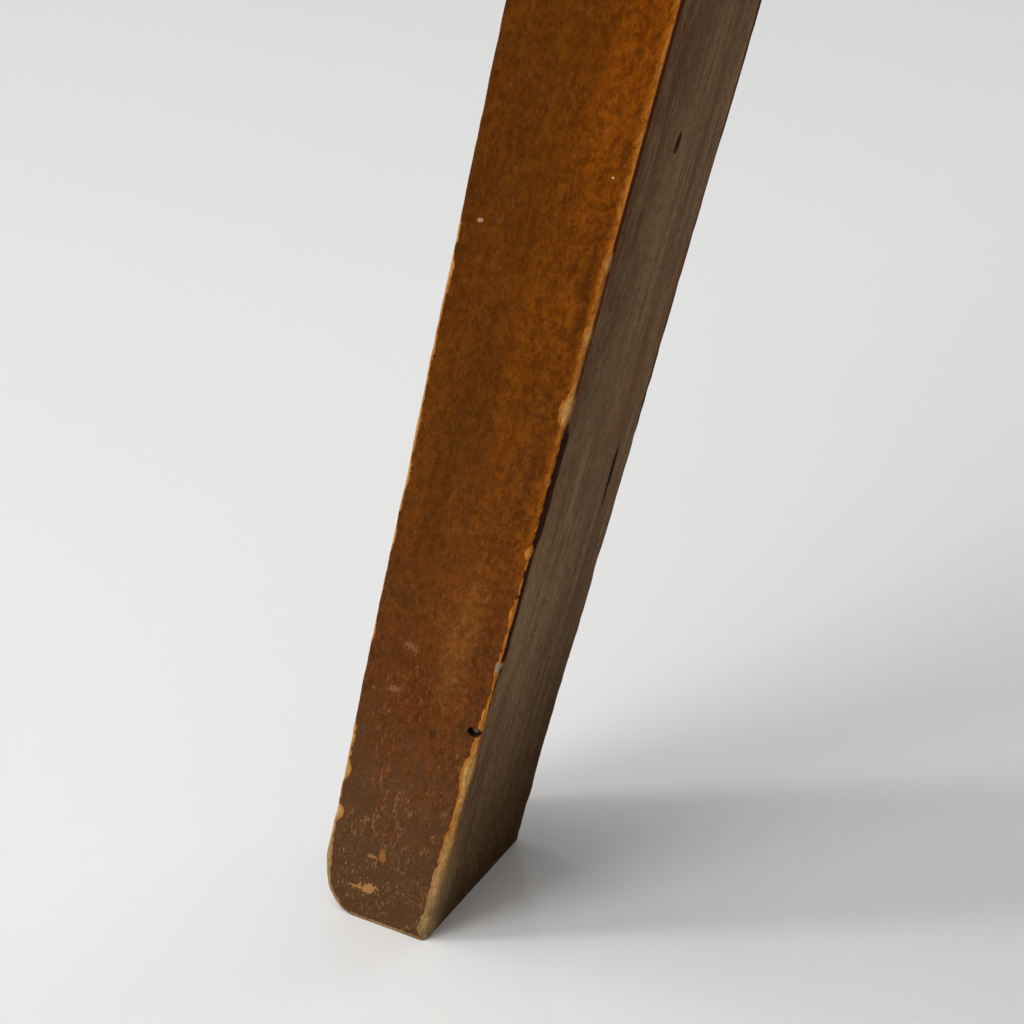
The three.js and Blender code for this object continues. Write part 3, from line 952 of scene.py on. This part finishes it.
class Tree:
    """Short ways to add and join the nodes of one material."""

    def __init__(self, name):
        self.material = bpy.data.materials.new(name)
        self.material.use_nodes = True
        self.material.node_tree.nodes.clear()

    def put(self, socket, value):
        if isinstance(value, Value):
            self.material.node_tree.links.new(value.socket, socket)
        elif socket.type == "RGBA":
            socket.default_value = (*value, 1)
        else:
            socket.default_value = value

    def node(self, kind, inputs, output=0, **settings):
        """Adds a node with these inputs, by name or number, and gives one of its outputs."""
        made = self.material.node_tree.nodes.new(kind)
        for name, setting in settings.items():
            setattr(made, name, setting)
        for place, value in inputs.items():
            self.put(made.inputs[place], value)
        return Value(self, made.outputs[output])

    def attribute(self, name, output="Vector"):
        return self.node("ShaderNodeAttribute", {}, output, attribute_name=name)

    def math(self, operation, a, b=0.0):
        return self.node("ShaderNodeMath", {0: a, 1: b}, operation=operation)

    def most(self, first, *others):
        for other in others:
            first = self.math("MAXIMUM", first, other)
        return first

    def least(self, a, b):
        return self.math("MINIMUM", a, b)

    def parts(self, vector):
        made = self.node("ShaderNodeSeparateXYZ", {0: vector}).socket.node
        return [Value(self, socket) for socket in made.outputs]

    def vector_math(self, operation, vector, numbers=(0, 0, 0), output=0):
        return self.node("ShaderNodeVectorMath", {0: vector, 1: numbers}, output, operation=operation)

    def stretch(self, vector, factors):
        return self.vector_math("MULTIPLY", vector, factors)

    def length(self, vector):
        return self.vector_math("LENGTH", vector, output="Value")

    def turn(self, vector, axis, angle):
        return self.node("ShaderNodeVectorRotate", {"Vector": vector, "Axis": axis, "Angle": angle})

    def noise(self, vector, detail, roughness=0.5, distortion=0.0):
        return self.node("ShaderNodeTexNoise", {
            "Vector": vector, "Scale": 1.0, "Detail": detail, "Roughness": roughness,
            "Distortion": distortion,
        })

    def mix(self, share, a, b, blend="MIX"):
        return self.node("ShaderNodeMix", {0: share, 6: a, 7: b}, 2, data_type="RGBA", blend_type=blend)

    def shade(self, colour, value):
        """The colour, lighter or darker by the factor value."""
        grey = self.node("ShaderNodeCombineColor", {0: value, 1: value, 2: value})
        return self.mix(1.0, colour, grey, "MULTIPLY")

    def spot(self, place, centre, radii, ragged, blend=0.15):
        """1 inside an ellipsoid about centre and 0 outside it, its border moved by the value ragged."""
        offset = self.vector_math("SUBTRACT", place, centre)
        away = self.length(self.stretch(offset, tuple(1 / r for r in radii)))
        return (away + ragged).rise(1 - blend, 1 + blend, 1.0, 0.0)

    def bump(self, height, distance, strength):
        inputs = {"Height": height, "Distance": distance, "Strength": strength}
        return self.node("ShaderNodeBump", inputs)

    def finish(self, colour, roughness, **settings):
        """Makes the surface; settings are more of the shader's inputs, by their short names."""
        inputs = {"Base Color": colour, "Roughness": roughness}
        inputs.update({SHADER_INPUTS[name]: value for name, value in settings.items()})
        shader = self.node("ShaderNodeBsdfPrincipled", inputs)
        output = self.material.node_tree.nodes.new("ShaderNodeOutputMaterial")
        self.put(output.inputs["Surface"], shader)
        return self.material


# Varnish: its own shades, where it ran, and where it is thin, scratched, dirty or sat on.
BAND_BRIGHT = (0.175, 0.041, 0.0005)
VARNISH_LIGHT = (0.150, 0.038, 0.001)
VARNISH_DARK = (0.092, 0.0235, 0.001)
VARNISH_RED = (0.118, 0.030, 0.004)
VARNISH_BROWN = (0.108, 0.034, 0.006)
THIN_RUN = (0.072, 0.018, 0.003)
VARNISH_RUN = (0.022, 0.003, 0.001)
EDGE_ORANGE = (0.34, 0.095, 0.004)
EDGE_PALE = (0.42, 0.17, 0.035)
SCRATCHED = (0.36, 0.18, 0.08)
FOOT_GRIME = (0.085, 0.042, 0.018)
SEAT_WORN = (0.27, 0.115, 0.03)
# The varnish's reflections are warm, as its own depth is.
GLOSS_TINT = (1.0, 0.6, 0.35)

# Wood with its varnish worn through.
BARE_WOOD = (0.58, 0.32, 0.098)
BARE_ORANGE = (0.40, 0.13, 0.018)
BARE_GRIMY = (0.30, 0.19, 0.088)

# Wood that was never varnished.
GREY_WOOD = (0.263, 0.168, 0.089)
GREY_DARK = (0.150, 0.088, 0.048)
# Partly rubbed wood, partly a painted highlight on the inner face's low near edge.
GREY_RUBBED_AND_HIGHLIT = (0.23, 0.15, 0.062)
GREY_PALE = (0.34, 0.24, 0.14)
PURPLE_WOOD = (0.122, 0.050, 0.022)
# Painted shade for the inner face near the floor.
FOOT_PAINTED_SHADE = (0.045, 0.020, 0.006)
BEARER_BROWN = (0.17, 0.075, 0.028)
BEARER_RUBBED = (0.36, 0.21, 0.10)
DUST = (0.33, 0.29, 0.24)
PEG_DARK = (0.24, 0.095, 0.022)
PEG_LIGHT = (0.40, 0.19, 0.060)
PEG_DIRT = (0.04, 0.016, 0.006)

STEEL_DARK = (0.26, 0.25, 0.235)
STEEL_LIGHT = (0.42, 0.40, 0.37)
RUST_DARK = (0.055, 0.018, 0.006)
RUST_LIGHT = (0.17, 0.060, 0.018)

# The photographed leg's broad soft zones: centre and radii in its own millimetres, strength, colour.
SIDE = LEG_HALF / MM
LEG_ZONES = [
    ((6, SIDE, 236), (9, 9, 42), 0.75, BAND_BRIGHT),
    ((13, SIDE, 165), (5, 9, 38), 0.5, (0.155, 0.039, 0.0005)),
    ((27, SIDE, 215), (10, 9, 50), 0.5, (0.078, 0.023, 0.002)),
    ((26, SIDE, 140), (10, 9, 40), 0.4, (0.085, 0.027, 0.003)),
    ((10.6, SIDE, 88), (5, 9, 22), 0.7, (0.185, 0.062, 0.010)),
    ((17.5, SIDE, 68), (6, 9, 19), 0.6, (0.088, 0.021, 0.002)),
    ((4.2, SIDE, 84), (3.6, 9, 13), 0.55, (0.072, 0.021, 0.003)),
    ((26, SIDE, 80), (6, 9, 26), 0.4, (0.080, 0.027, 0.005)),
]

# Its small marks: centre and radii, how ragged, how strong, and colour. Marks on the side face
# reach well into the wood, to cover its rounding too.
LEG_MARKS = [
    ((17.8, SIDE, 10.2), (2.2, 9, 1.4), 1.8, 0.9, (0.40, 0.20, 0.06)),
    ((20.4, SIDE, 9.6), (2.4, 9, 0.3), 0.9, 0.8, (0.40, 0.20, 0.06)),
    ((16.2, SIDE, 21.8), (0.8, 9, 2.3), 2.0, 0.7, (0.32, 0.13, 0.025)),
    ((19.0, SIDE, 20.2), (1.4, 9, 0.5), 1.6, 0.7, (0.34, 0.17, 0.06)),
    ((11.7, SIDE, 61.6), (1.0, 9, 1.4), 0.5, 0.6, (0.035, 0.011, 0.003)),
    ((29.9, SIDE, 192.6), (0.6, 9, 0.5), 1.2, 0.8, (0.42, 0.23, 0.16)),
    ((4.2, SIDE, 208.7), (0.24, 9, 0.24), 0.8, 0.8, (0.7, 0.5, 0.36)),
    ((22.0, SIDE, 83.4), (1.5, 9, 1.2), 3.0, 0.5, (0.32, 0.13, 0.06)),
    ((23.4, SIDE, 70.3), (1.3, 9, 0.9), 3.0, 0.5, (0.32, 0.13, 0.06)),
    ((0.6, SIDE, 85.3), (0.6, 3, 1.5), 1.0, 0.8, (0.34, 0.26, 0.18)),
    # Painted shade: the nail hole's inside, darkened to near black.
    ((1.9, SIDE, 65.8), (1.8, 3.3, 1.5), 0.2, 1.0, (0.02, 0.010, 0.006)),
    ((0.0, 3.3, 209.4), (2, 1.3, 2.5), 0.4, 0.95, (0.045, 0.012, 0.003)),
    # Painted shade: the drying crack's inside, darkened to near black.
    ((0.0, -13.6, 118.0), (4, 0.7, 8.7), 0.3, 1.0, (0.015, 0.006, 0.003)),
]

# Patterns in wood: how fine each is across and along the grain, its detail, roughness and distortion.
WOOD_PATTERNS = {
    "fibre": (3.4, 0.24, 3, 0.7, 0),
    "fine": (3.0, 1.1, 2, 0.6, 0),
    "mottle": (0.75, 0.52, 4, 0.62, 0.5),
    "peel": (0.50, 0.42, 1, 0.5, 0.8),
    "fleck": (2.1, 0.5, 3, 0.55, 0.25),
    "pale": (2.2, 0.62, 2, 0.6, 0),
    "pore": (2.7, 0.75, 1, 0.5, 0),
    "patch": (0.26, 0.12, 3, 0.55, 0),
    "band": (0.21, 0.018, 3, 0.6, 0),
    "broad": (0.075, 0.022, 2, 0.5, 0),
    "streak": (0.9, 0.035, 4, 0.62, 0),
}


def wood_patterns(t, grain):
    """Patterns from hair-fine fibres to broad patches, most of them longer along the grain."""
    made = {}
    for name, (across, along, *look) in WOOD_PATTERNS.items():
        made[name] = t.noise(t.stretch(grain, (across, across, along)), *look)
    return SimpleNamespace(**made)


def start_wood(name):
    """A new material, with each point's place on its piece and in its wood, and the wood's patterns."""
    t = Tree(name)
    place, grain = t.attribute("place"), t.attribute("grain")
    return t, place, grain, wood_patterns(t, grain)


def growth_rings(t, grain, pith, spacing):
    """0 to 1 and back across each year's growth, about a slightly leaning pith."""
    x, y, z = t.parts(grain)
    away_x = x + pith[0] + z * 0.035
    away_y = y + pith[1]
    away = t.math("SQRT", away_x * away_x + away_y * away_y)
    sway = t.noise(t.stretch(grain, (0.06, 0.06, 0.012)), 2)
    turns = away * (1 / spacing) + sway * 3.5
    return t.math("POWER", t.math("FRACT", turns), 2.5)


def scratches(t, grain, zone_size):
    """Short fine scratches in three directions, in patches."""
    masks = []
    for angle, factors in ((0.1, (4, 4, 0.5)), (0.9, (5, 5, 0.4)), (-0.6, (4.5, 4.5, 0.6))):
        lines = t.noise(t.stretch(t.turn(grain, (0, 1, 0), angle), factors), 2)
        masks.append(lines.rise(0.63, 0.71))
    zone = t.noise(t.stretch(grain, (zone_size, zone_size, zone_size)), 2)
    return t.most(*masks) * zone.rise(0.42, 0.58)


def grain_shade(wood, contrast):
    """How much lighter or darker the small patterns make varnished wood, about 1."""
    mixed = wood.mottle * 0.50 + wood.fleck * 0.22 + wood.fibre * 0.13 + wood.band * 0.15
    return mixed.rise(0.34, 0.66, 1 - contrast, 1 + contrast)


def dull_wood(t, wood):
    """Unvarnished wood, gone grey-brown, with fine fibres."""
    tone = wood.streak * 0.7 + wood.broad * 0.3
    dull = t.mix(tone.rise(0.36, 0.62), GREY_DARK, GREY_WOOD)
    return t.shade(dull, wood.fibre.rise(0.32, 0.68, 0.78, 1.22))


def varnished_face(t, wood, place, grain, photographed):
    """A leg's varnish: orange, brighter near the inner edge, brown and scratched low down."""
    from_inner, _, height = t.parts(place)
    tone = wood.broad * 0.45 + wood.band * 0.45 + wood.patch * 0.10
    bright = tone.rise(0.36, 0.64) * from_inner.rise(6, 34, 1.0, 0.5)
    varnish = t.mix(bright, VARNISH_DARK, VARNISH_LIGHT)
    low_down = (height + wood.broad * 90).rise(95, 215, 1.0, 0.0)
    varnish = t.mix(low_down * 0.8, varnish, VARNISH_BROWN)
    red = height.between(48, 100, 18) * wood.broad.rise(0.42, 0.55) * 0.7
    varnish = t.mix(red, varnish, VARNISH_RED)
    for centre, radii, strength, zone in LEG_ZONES:
        inside = t.spot(place, centre, radii, wood.band * 0.5, 0.6)
        varnish = t.mix(inside * photographed * strength, varnish, zone)
    varnish = t.shade(varnish, grain_shade(wood, 0.30))
    # Painted light and shade: the varnish colour is lightened and darkened with the orange-peel relief,
    # most near the inner edge and higher up.
    painted_peel_shading = from_inner.rise(3, 18, 0.22, 0.11) * height.rise(60, 130, 0.7, 1.0)
    varnish = t.shade(varnish, wood.peel.rise(0.36, 0.64, -1, 1) * painted_peel_shading + 1.01)

    glow = (from_inner + wood.mottle * 4).rise(2.4, 4.2, 0.9, 0.0) * height.rise(80, 170)
    varnish = t.mix(glow, varnish, EDGE_ORANGE)
    rim = (from_inner + wood.mottle * 3).rise(1.9, 2.8, 0.6, 0.0) * height.rise(120, 160)
    varnish = t.mix(rim, varnish, EDGE_PALE)

    grime = (height + wood.patch * 80 - from_inner * 0.5).rise(50, 100, 0.92, 0.0)
    varnish = t.mix(grime * wood.fleck.rise(0.35, 0.6, 0.65, 1.0), varnish, FOOT_GRIME)
    rubbed = wood.pale.rise(0.54, 0.74) * height.rise(15, 110, 0.85, 0.12)
    rubbed = rubbed * wood.patch.rise(0.42, 0.60, 0.15, 1.0)
    varnish = t.mix(rubbed, varnish, SCRATCHED)
    lines = scratches(t, grain, 0.13) * height.rise(15, 110, 0.32, 0.0)
    varnish = t.mix(lines, varnish, SCRATCHED)
    return t.shade(varnish, wood.pore.rise(0.60, 0.70, 1.0, 0.72)), grime


def inner_face(t, wood, sideways, height, run, photographed):
    """A leg's unvarnished inner face, darkened low down by painted shade, and darkest where varnish ran
    onto it.
    """
    dull = dull_wood(t, wood)
    zone = sideways.rise(-6, 16) * height.rise(90, 170)
    purple = zone * (wood.streak + wood.patch * 0.35).rise(0.60, 0.72)
    dull = t.mix(purple * 0.85, dull, PURPLE_WOOD)
    # Painted shade: the inner face is darkened towards the floor and towards its far side.
    low_down = height + sideways * 0.8 + wood.patch * 26 + wood.mottle * 12
    dull = t.mix(low_down.rise(8, 135, 0.92, 0.0), dull, FOOT_PAINTED_SHADE)
    pale = wood.pale.rise(0.55, 0.75) * height.rise(20, 70, 0.5, 0.0)
    dull = t.mix(pale, dull, GREY_WOOD)
    # Partly rubbed wood, partly a painted highlight: a paler band on the inner face beside the near edge,
    # low down, standing in for light on a broad worn rounding.
    rubbed = (sideways + wood.patch * 6).rise(15, 25) * height.rise(18, 44, 0.85, 0.0)
    dull = t.mix(rubbed, dull, GREY_RUBBED_AND_HIGHLIT)
    dull = t.shade(dull, wood.fleck.rise(0.36, 0.56, 0.72, 1.08))
    pale_streak = sideways.between(4, 7, 1.2) * height.between(112, 136, 6)
    dull = t.mix(pale_streak * photographed * 0.4, dull, GREY_PALE)
    varnish = t.mix(height.rise(146, 156), VARNISH_RUN, THIN_RUN)
    return t.mix(run.rise(-0.9, 0.5, 0.0, 0.95), dull, varnish)


def worn_edge(t, wood, bare, from_inner, height, grime):
    """Bare wood on a leg's worn edge: orange where the wear is thin, with painted light near the inner
    edge, dirty near the floor.
    """
    near_inner = from_inner.rise(2, 8, 1.0, 0.0)
    thin = near_inner * (height.between(72, 140, 8) * 0.35 + 0.45)
    deep = bare + wood.patch * 0.8 - thin
    worn = t.mix(deep.rise(0.25, 1.5), BARE_ORANGE, BARE_WOOD)
    # Painted light: bare wood near the inner edge, 66 to 130 mm up, is lightened where the lamps leave
    # its rounding dark; elsewhere bare wood is a little darker.
    painted_light_band = height.between(66, 130, 6)
    worn = t.shade(worn, near_inner * painted_light_band * 0.35 + 0.85)
    worn = t.mix((height + wood.patch * 30).rise(20, 52, 0.85, 0.0), worn, BARE_GRIMY)
    worn = t.mix(grime * wood.patch.rise(0.46, 0.66) * 0.45, worn, FOOT_GRIME)
    return t.shade(worn, wood.fleck.rise(0.34, 0.66, 0.72, 1.22))


def leg_wood():
    """Aged varnish on a leg's outer faces, dull wood on its inner one, bare wood on worn edges."""
    t, place, grain, wood = start_wood("leg_wood")
    bare, run, photographed = (t.attribute(name, "Fac") for name in ("bare", "run", "photographed"))
    from_inner, sideways, height = t.parts(place)

    varnish, grime = varnished_face(t, wood, place, grain, photographed)
    dull = inner_face(t, wood, sideways, height, run, photographed)
    on_inner = (from_inner + wood.fine * 0.3).rise(0.35, 0.6, 1.0, 0.0)
    colour = t.mix(on_inner, varnish, dull)

    # Bare wood has a ragged border with a thin dark outline, and hardly shows on the inner face's
    # far and lower rims, which are darkened by painted shade.
    ragged = bare + wood.mottle * 1.6 + wood.fleck * 0.8 - 1.25
    outline = ragged.between(-0.20, -0.02, 0.08) * from_inner.rise(0.2, 0.5, 0.0, 0.22)
    colour = t.mix(outline, colour, VARNISH_RUN)
    shaded_inner_rim = from_inner.rise(1.5, 4, 1.0, 0.0) * sideways.rise(16, 20, 1.0, 0.0)
    shows = ragged.rise(-0.04, 0.10) * from_inner.rise(0.05, 0.3, 0.5, 1.0)
    shows = shows * shaded_inner_rim.rise(0, 1, 1.0, 0.12)
    colour = t.mix(shows, colour, worn_edge(t, wood, bare, from_inner, height, grime))
    # Painted shade: the inner face's far and lower rims are darkened to half.
    colour = t.shade(colour, shaded_inner_rim.rise(0, 1, 1.0, from_inner.rise(0.2, 0.6, 1.0, 0.5)))

    border = wood.mottle * 1.6 + wood.fine - 1.3
    for centre, radii, raggedness, strength, mark in LEG_MARKS:
        inside = t.spot(place, centre, radii, border * raggedness)
        colour = t.mix(inside * photographed * strength, colour, mark)

    roughness = wood.fleck.rise(0.3, 0.7, 0.33, 0.47) + grime * 0.15
    roughness = t.most(on_inner, shows).rise(0.0, 1.0, roughness, 1.0)
    peel = wood.peel * from_inner.rise(4, 20, 2.2, 0.8) * height.rise(60, 130)
    relief = wood.mottle * shows.rise(0, 1, 0.8, 0.15) + wood.fleck * 0.4 + peel
    relief = relief + on_inner * wood.fibre - shows * 0.7
    normal = t.bump(relief, 0.18 * MM, 0.8)
    return t.finish(colour, roughness, normal=normal, specular=0.045, tint=GLOSS_TINT)


def bearer_wood():
    """Unvarnished planed wood under the seat: dull, dusty, and rubbed paler at its edges."""
    t, place, grain, wood = start_wood("bearer_wood")
    height, sideways, _ = t.parts(place)
    rings = growth_rings(t, grain, (38, 21), 2.6)
    colour = t.shade(dull_wood(t, wood), rings.rise(0.0, 1.0, 1.12, 0.78))
    colour = t.mix(wood.broad.rise(0.42, 0.60, 0.0, 0.55), colour, BEARER_BROWN)
    colour = t.shade(colour, wood.pore.rise(0.58, 0.68, 1.0, 0.55))

    tall = (ARM_TOP - ARM_BOTTOM) / MM
    from_face = t.least(height, tall - height)
    from_edge = t.most(from_face, ARM_HALF / MM - abs(sideways))
    rubbed = (from_edge + wood.mottle * 3).rise(1.2, 2.4, 0.75, 0.0)
    colour = t.mix(rubbed, colour, BEARER_RUBBED)
    dust = (wood.patch + wood.fine * 0.25).rise(0.66, 0.82, 0.0, 0.35)
    colour = t.mix(dust, colour, DUST)
    normal = t.bump(wood.fibre + rings * 0.5 + wood.mottle * 0.4, 0.10 * MM, 0.8)
    return t.finish(colour, wood.fleck.rise(0.3, 0.7, 0.58, 0.74), normal=normal, specular=0.25)


def seat_wood():
    """The seat's boards: varnished above and round the rim, worn where it is sat on, dull below."""
    t, place, grain, wood = start_wood("seat_wood")
    _, y, height = t.parts(place)
    rings = growth_rings(t, grain, (55, 12), 3.1)
    thick = (SEAT_TOP - SEAT_UNDERSIDE) / MM
    away = t.length(t.stretch(place, (1, 1, 0)))
    from_rim = SEAT_RADIUS / MM - away

    tone = wood.broad * 0.6 + wood.patch * 0.4
    varnish = t.mix(tone.rise(0.38, 0.62), VARNISH_DARK, VARNISH_LIGHT)
    varnish = t.mix(0.2, varnish, VARNISH_BROWN)
    varnish = t.shade(varnish, grain_shade(wood, 0.34))
    varnish = t.shade(varnish, rings.rise(0.0, 1.0, 1.22, 0.62))

    sat_on = (away + (wood.broad * 70 + wood.patch * 45)).rise(95, 175, 0.75, 0.0)
    worn = t.shade(SEAT_WORN, rings.rise(0.0, 1.0, 1.15, 0.75))
    varnish = t.mix(sat_on, varnish, worn)
    lines = scratches(t, t.turn(grain, (1, 0, 0), math.pi / 2), 0.02) * 0.30
    varnish = t.mix(lines, varnish, SCRATCHED)
    varnish = t.shade(varnish, wood.pore.rise(0.60, 0.68, 1.0, 0.6))
    from_joint = abs(abs(y) - JOINT / MM)
    varnish = t.shade(varnish, from_joint.rise(0.3, 1.6, 0.55, 1.0))

    below = (height + wood.mottle * 2.0).rise(1.2, 2.0, 1.0, 0.0) * from_rim.rise(2.0, 4.0)
    dull = t.shade(dull_wood(t, wood), rings.rise(0.0, 1.0, 1.12, 0.8))
    overrun = (from_rim + wood.patch * 16).rise(10, 20, 0.7, 0.0)
    dull = t.mix(overrun, dull, VARNISH_BROWN)
    colour = t.mix(below, varnish, dull)

    # The rim is rubbed through to bare wood on its top round, most where hands and knees meet it.
    top_edge = t.most(from_rim, thick - height)
    under_edge = t.most(from_rim, height)
    edge = t.least(top_edge, under_edge + 1.5)
    bare = edge * -1.0 + wood.patch * 5.0 + wood.mottle * 3.0 - 1.9
    shows = bare.rise(0.1, 0.35)
    worn = t.mix(bare.rise(0.3, 1.4), BARE_ORANGE, BARE_WOOD)
    worn = t.shade(worn, wood.fleck.rise(0.34, 0.66, 0.7, 1.2))
    colour = t.mix(shows, colour, worn)

    roughness = wood.fleck.rise(0.3, 0.7, 0.30, 0.42) + sat_on * 0.12 + lines * 0.5
    roughness = t.most(below, shows).rise(0.0, 1.0, roughness, 0.68)
    relief = wood.mottle * 0.5 + wood.fibre * 0.5 + rings * 0.4 - shows * 0.8
    normal = t.bump(relief, 0.10 * MM, 0.7)
    return t.finish(colour, roughness, normal=normal, specular=0.2, tint=GLOSS_TINT)


def peg_wood():
    """Pegs and loose tongues of a paler wood, their ends darkened by varnish and dirt."""
    t, place, grain, wood = start_wood("peg_wood")
    rings = growth_rings(t, grain, (6, 3), 1.3)
    colour = t.mix(wood.streak.rise(0.35, 0.65), PEG_DARK, PEG_LIGHT)
    colour = t.shade(colour, rings.rise(0.0, 1.0, 1.15, 0.62))
    colour = t.shade(colour, wood.fine.rise(0.35, 0.65, 0.72, 1.22))
    across = t.length(t.stretch(place, (1, 1, 0)))
    dirty = (across + wood.fine * 0.8).rise(3.3, 4.1, 0.0, 0.8)
    colour = t.mix(dirty, colour, PEG_DIRT)
    normal = t.bump(wood.fine * 0.6 + rings * 0.6 + wood.fibre * 0.5, 0.08 * MM, 0.8)
    return t.finish(colour, wood.fine.rise(0.35, 0.65, 0.45, 0.6), normal=normal, specular=0.3)


def screw_steel():
    """Dulled steel with brown rust in its slot and thread and in small spots."""
    t = Tree("screw_steel")
    place, grain = t.attribute("place"), t.attribute("grain")
    patch = t.noise(t.stretch(grain, (0.5, 0.5, 0.5)), 3, 0.6)
    fine = t.noise(t.stretch(grain, (3, 3, 3)), 3, 0.6)
    height = t.parts(place)[2]
    rust = (patch + fine * 0.4 + height.rise(0.15, 1.2, 0.0, 0.16)).rise(0.72, 0.86)
    steel = t.mix(fine.rise(0.35, 0.65), STEEL_DARK, STEEL_LIGHT)
    brown = t.mix(fine.rise(0.35, 0.65), RUST_DARK, RUST_LIGHT)
    colour = t.mix(rust, steel, brown)
    roughness = rust.rise(0.0, 1.0, fine.rise(0.3, 0.7, 0.32, 0.52), 0.85)
    normal = t.bump(fine + rust * 0.8, 0.05 * MM, 0.8)
    return t.finish(colour, roughness, normal=normal, metallic=rust.rise(0.0, 1.0, 1.0, 0.1))


# --- Camera, floor and light ----------------------------------------------------------------------

FLOOR_GREY = (0.74, 0.74, 0.735)
FLOOR_ROUGHNESS = 0.07
SKY_STRENGTH = 0.29
LIGHT_TARGET_HEIGHT = 0.05
# Each light: its place from what it is aimed at, its width and height, and its power.
LIGHTS = {
    "window": ((-3.2, -0.45, 2.3), (0.42, 2.0), 46),
    "front_left": ((-2.4, -1.75, 2.4), (1.3, 1.0), 42),
    "overhead": ((-0.45, -0.25, 1.5), (1.3, 1.0), 15),
    "fill": ((2.0, 1.3, 1.5), (1.6, 1.2), 10),
}


def add_camera():
    """The photograph's view: from seat height, close in, down at the left leg's foot."""
    heading = math.radians(89.4)
    pitch = math.radians(31.8)
    # From the camera to the foot's near corner.
    ahead, above, right = 0.5468, 0.4582, 0.0206
    corner = Vector(from_leg("left", (inner_radius(0), LEG_HALF, 0)))
    forward = Vector((math.cos(heading), math.sin(heading), 0))
    rightward = Vector((math.sin(heading), -math.cos(heading), 0))
    data = bpy.data.cameras.new("camera")
    data.lens = 105.47
    data.sensor_width = 36
    data.clip_start = 0.01
    camera = add_object("camera", data)
    camera.location = corner - forward * ahead + rightward * right + Vector((0, 0, above))
    camera.rotation_euler = (math.pi / 2 - pitch, 0, heading - math.pi / 2)
    bpy.context.scene.camera = camera


def add_floor():
    """A wide flat floor that curves up into a backdrop all round."""
    flat_radius, curve, top = 3.2, 1.2, 4.0
    steps, curve_steps = 96, 12
    profile = [(0.6 * i, 0.0) for i in range(1, 6)] + [(flat_radius, 0.0)]
    for i in range(1, curve_steps + 1):
        turn = math.pi / 2 * i / curve_steps
        profile.append((flat_radius + curve * math.sin(turn), curve * (1 - math.cos(turn))))
    profile.append((flat_radius + curve, top))
    points = [(0, 0, 0)]
    for radius, z in profile:
        points += [(a, b, z) for a, b in circle((0, 0), radius, steps)]
    middle = [(0, 1 + i, 1 + (i + 1) % steps) for i in range(steps)]
    around = [face[::-1] for face in ring_quads(len(profile), steps, start=1)]
    floor = new_object("studio_floor", points, middle + around)
    floor.data.shade_smooth()
    floor.data.materials.append(Tree("studio_floor").finish(FLOOR_GREY, FLOOR_ROUGHNESS))


def add_light(name, offset, size, power):
    """A white area light, aimed at a place just above the left leg's foot."""
    data = bpy.data.lights.new(name, "AREA")
    data.shape = "RECTANGLE"
    data.size, data.size_y = size
    data.energy = power
    lamp = add_object(name, data)
    target = Vector(from_leg("left", (inner_radius(0), 0, LIGHT_TARGET_HEIGHT)))
    lamp.location = target + Vector(offset)
    lamp.rotation_euler = (target - lamp.location).to_track_quat("-Z", "Y").to_euler()


def add_lights():
    """A tall narrow window on the left, a softer light front left, and even light from above."""
    for name, settings in LIGHTS.items():
        add_light(name, *settings)
    bpy.data.objects["overhead"].visible_glossy = False
    world = bpy.data.worlds.new("studio")
    world.use_nodes = True
    background = world.node_tree.nodes["Background"].inputs
    background["Color"].default_value = (1, 1, 1, 1)
    background["Strength"].default_value = SKY_STRENGTH
    bpy.context.scene.world = world


# --- The stool ------------------------------------------------------------------------------------

add_camera()
add_floor()
add_lights()

# The looks, by the names of the record's material slots.
MATERIALS = {
    make.__name__: make() for make in (leg_wood, bearer_wood, peg_wood, screw_steel, seat_wood)
}
for side in SIDES:
    make_leg(side)
    make_arm(side)
    for level in PEG_PLACES:
        make_peg(level, side)
make_hub()
make_screws()
make_nail()
make_seat()
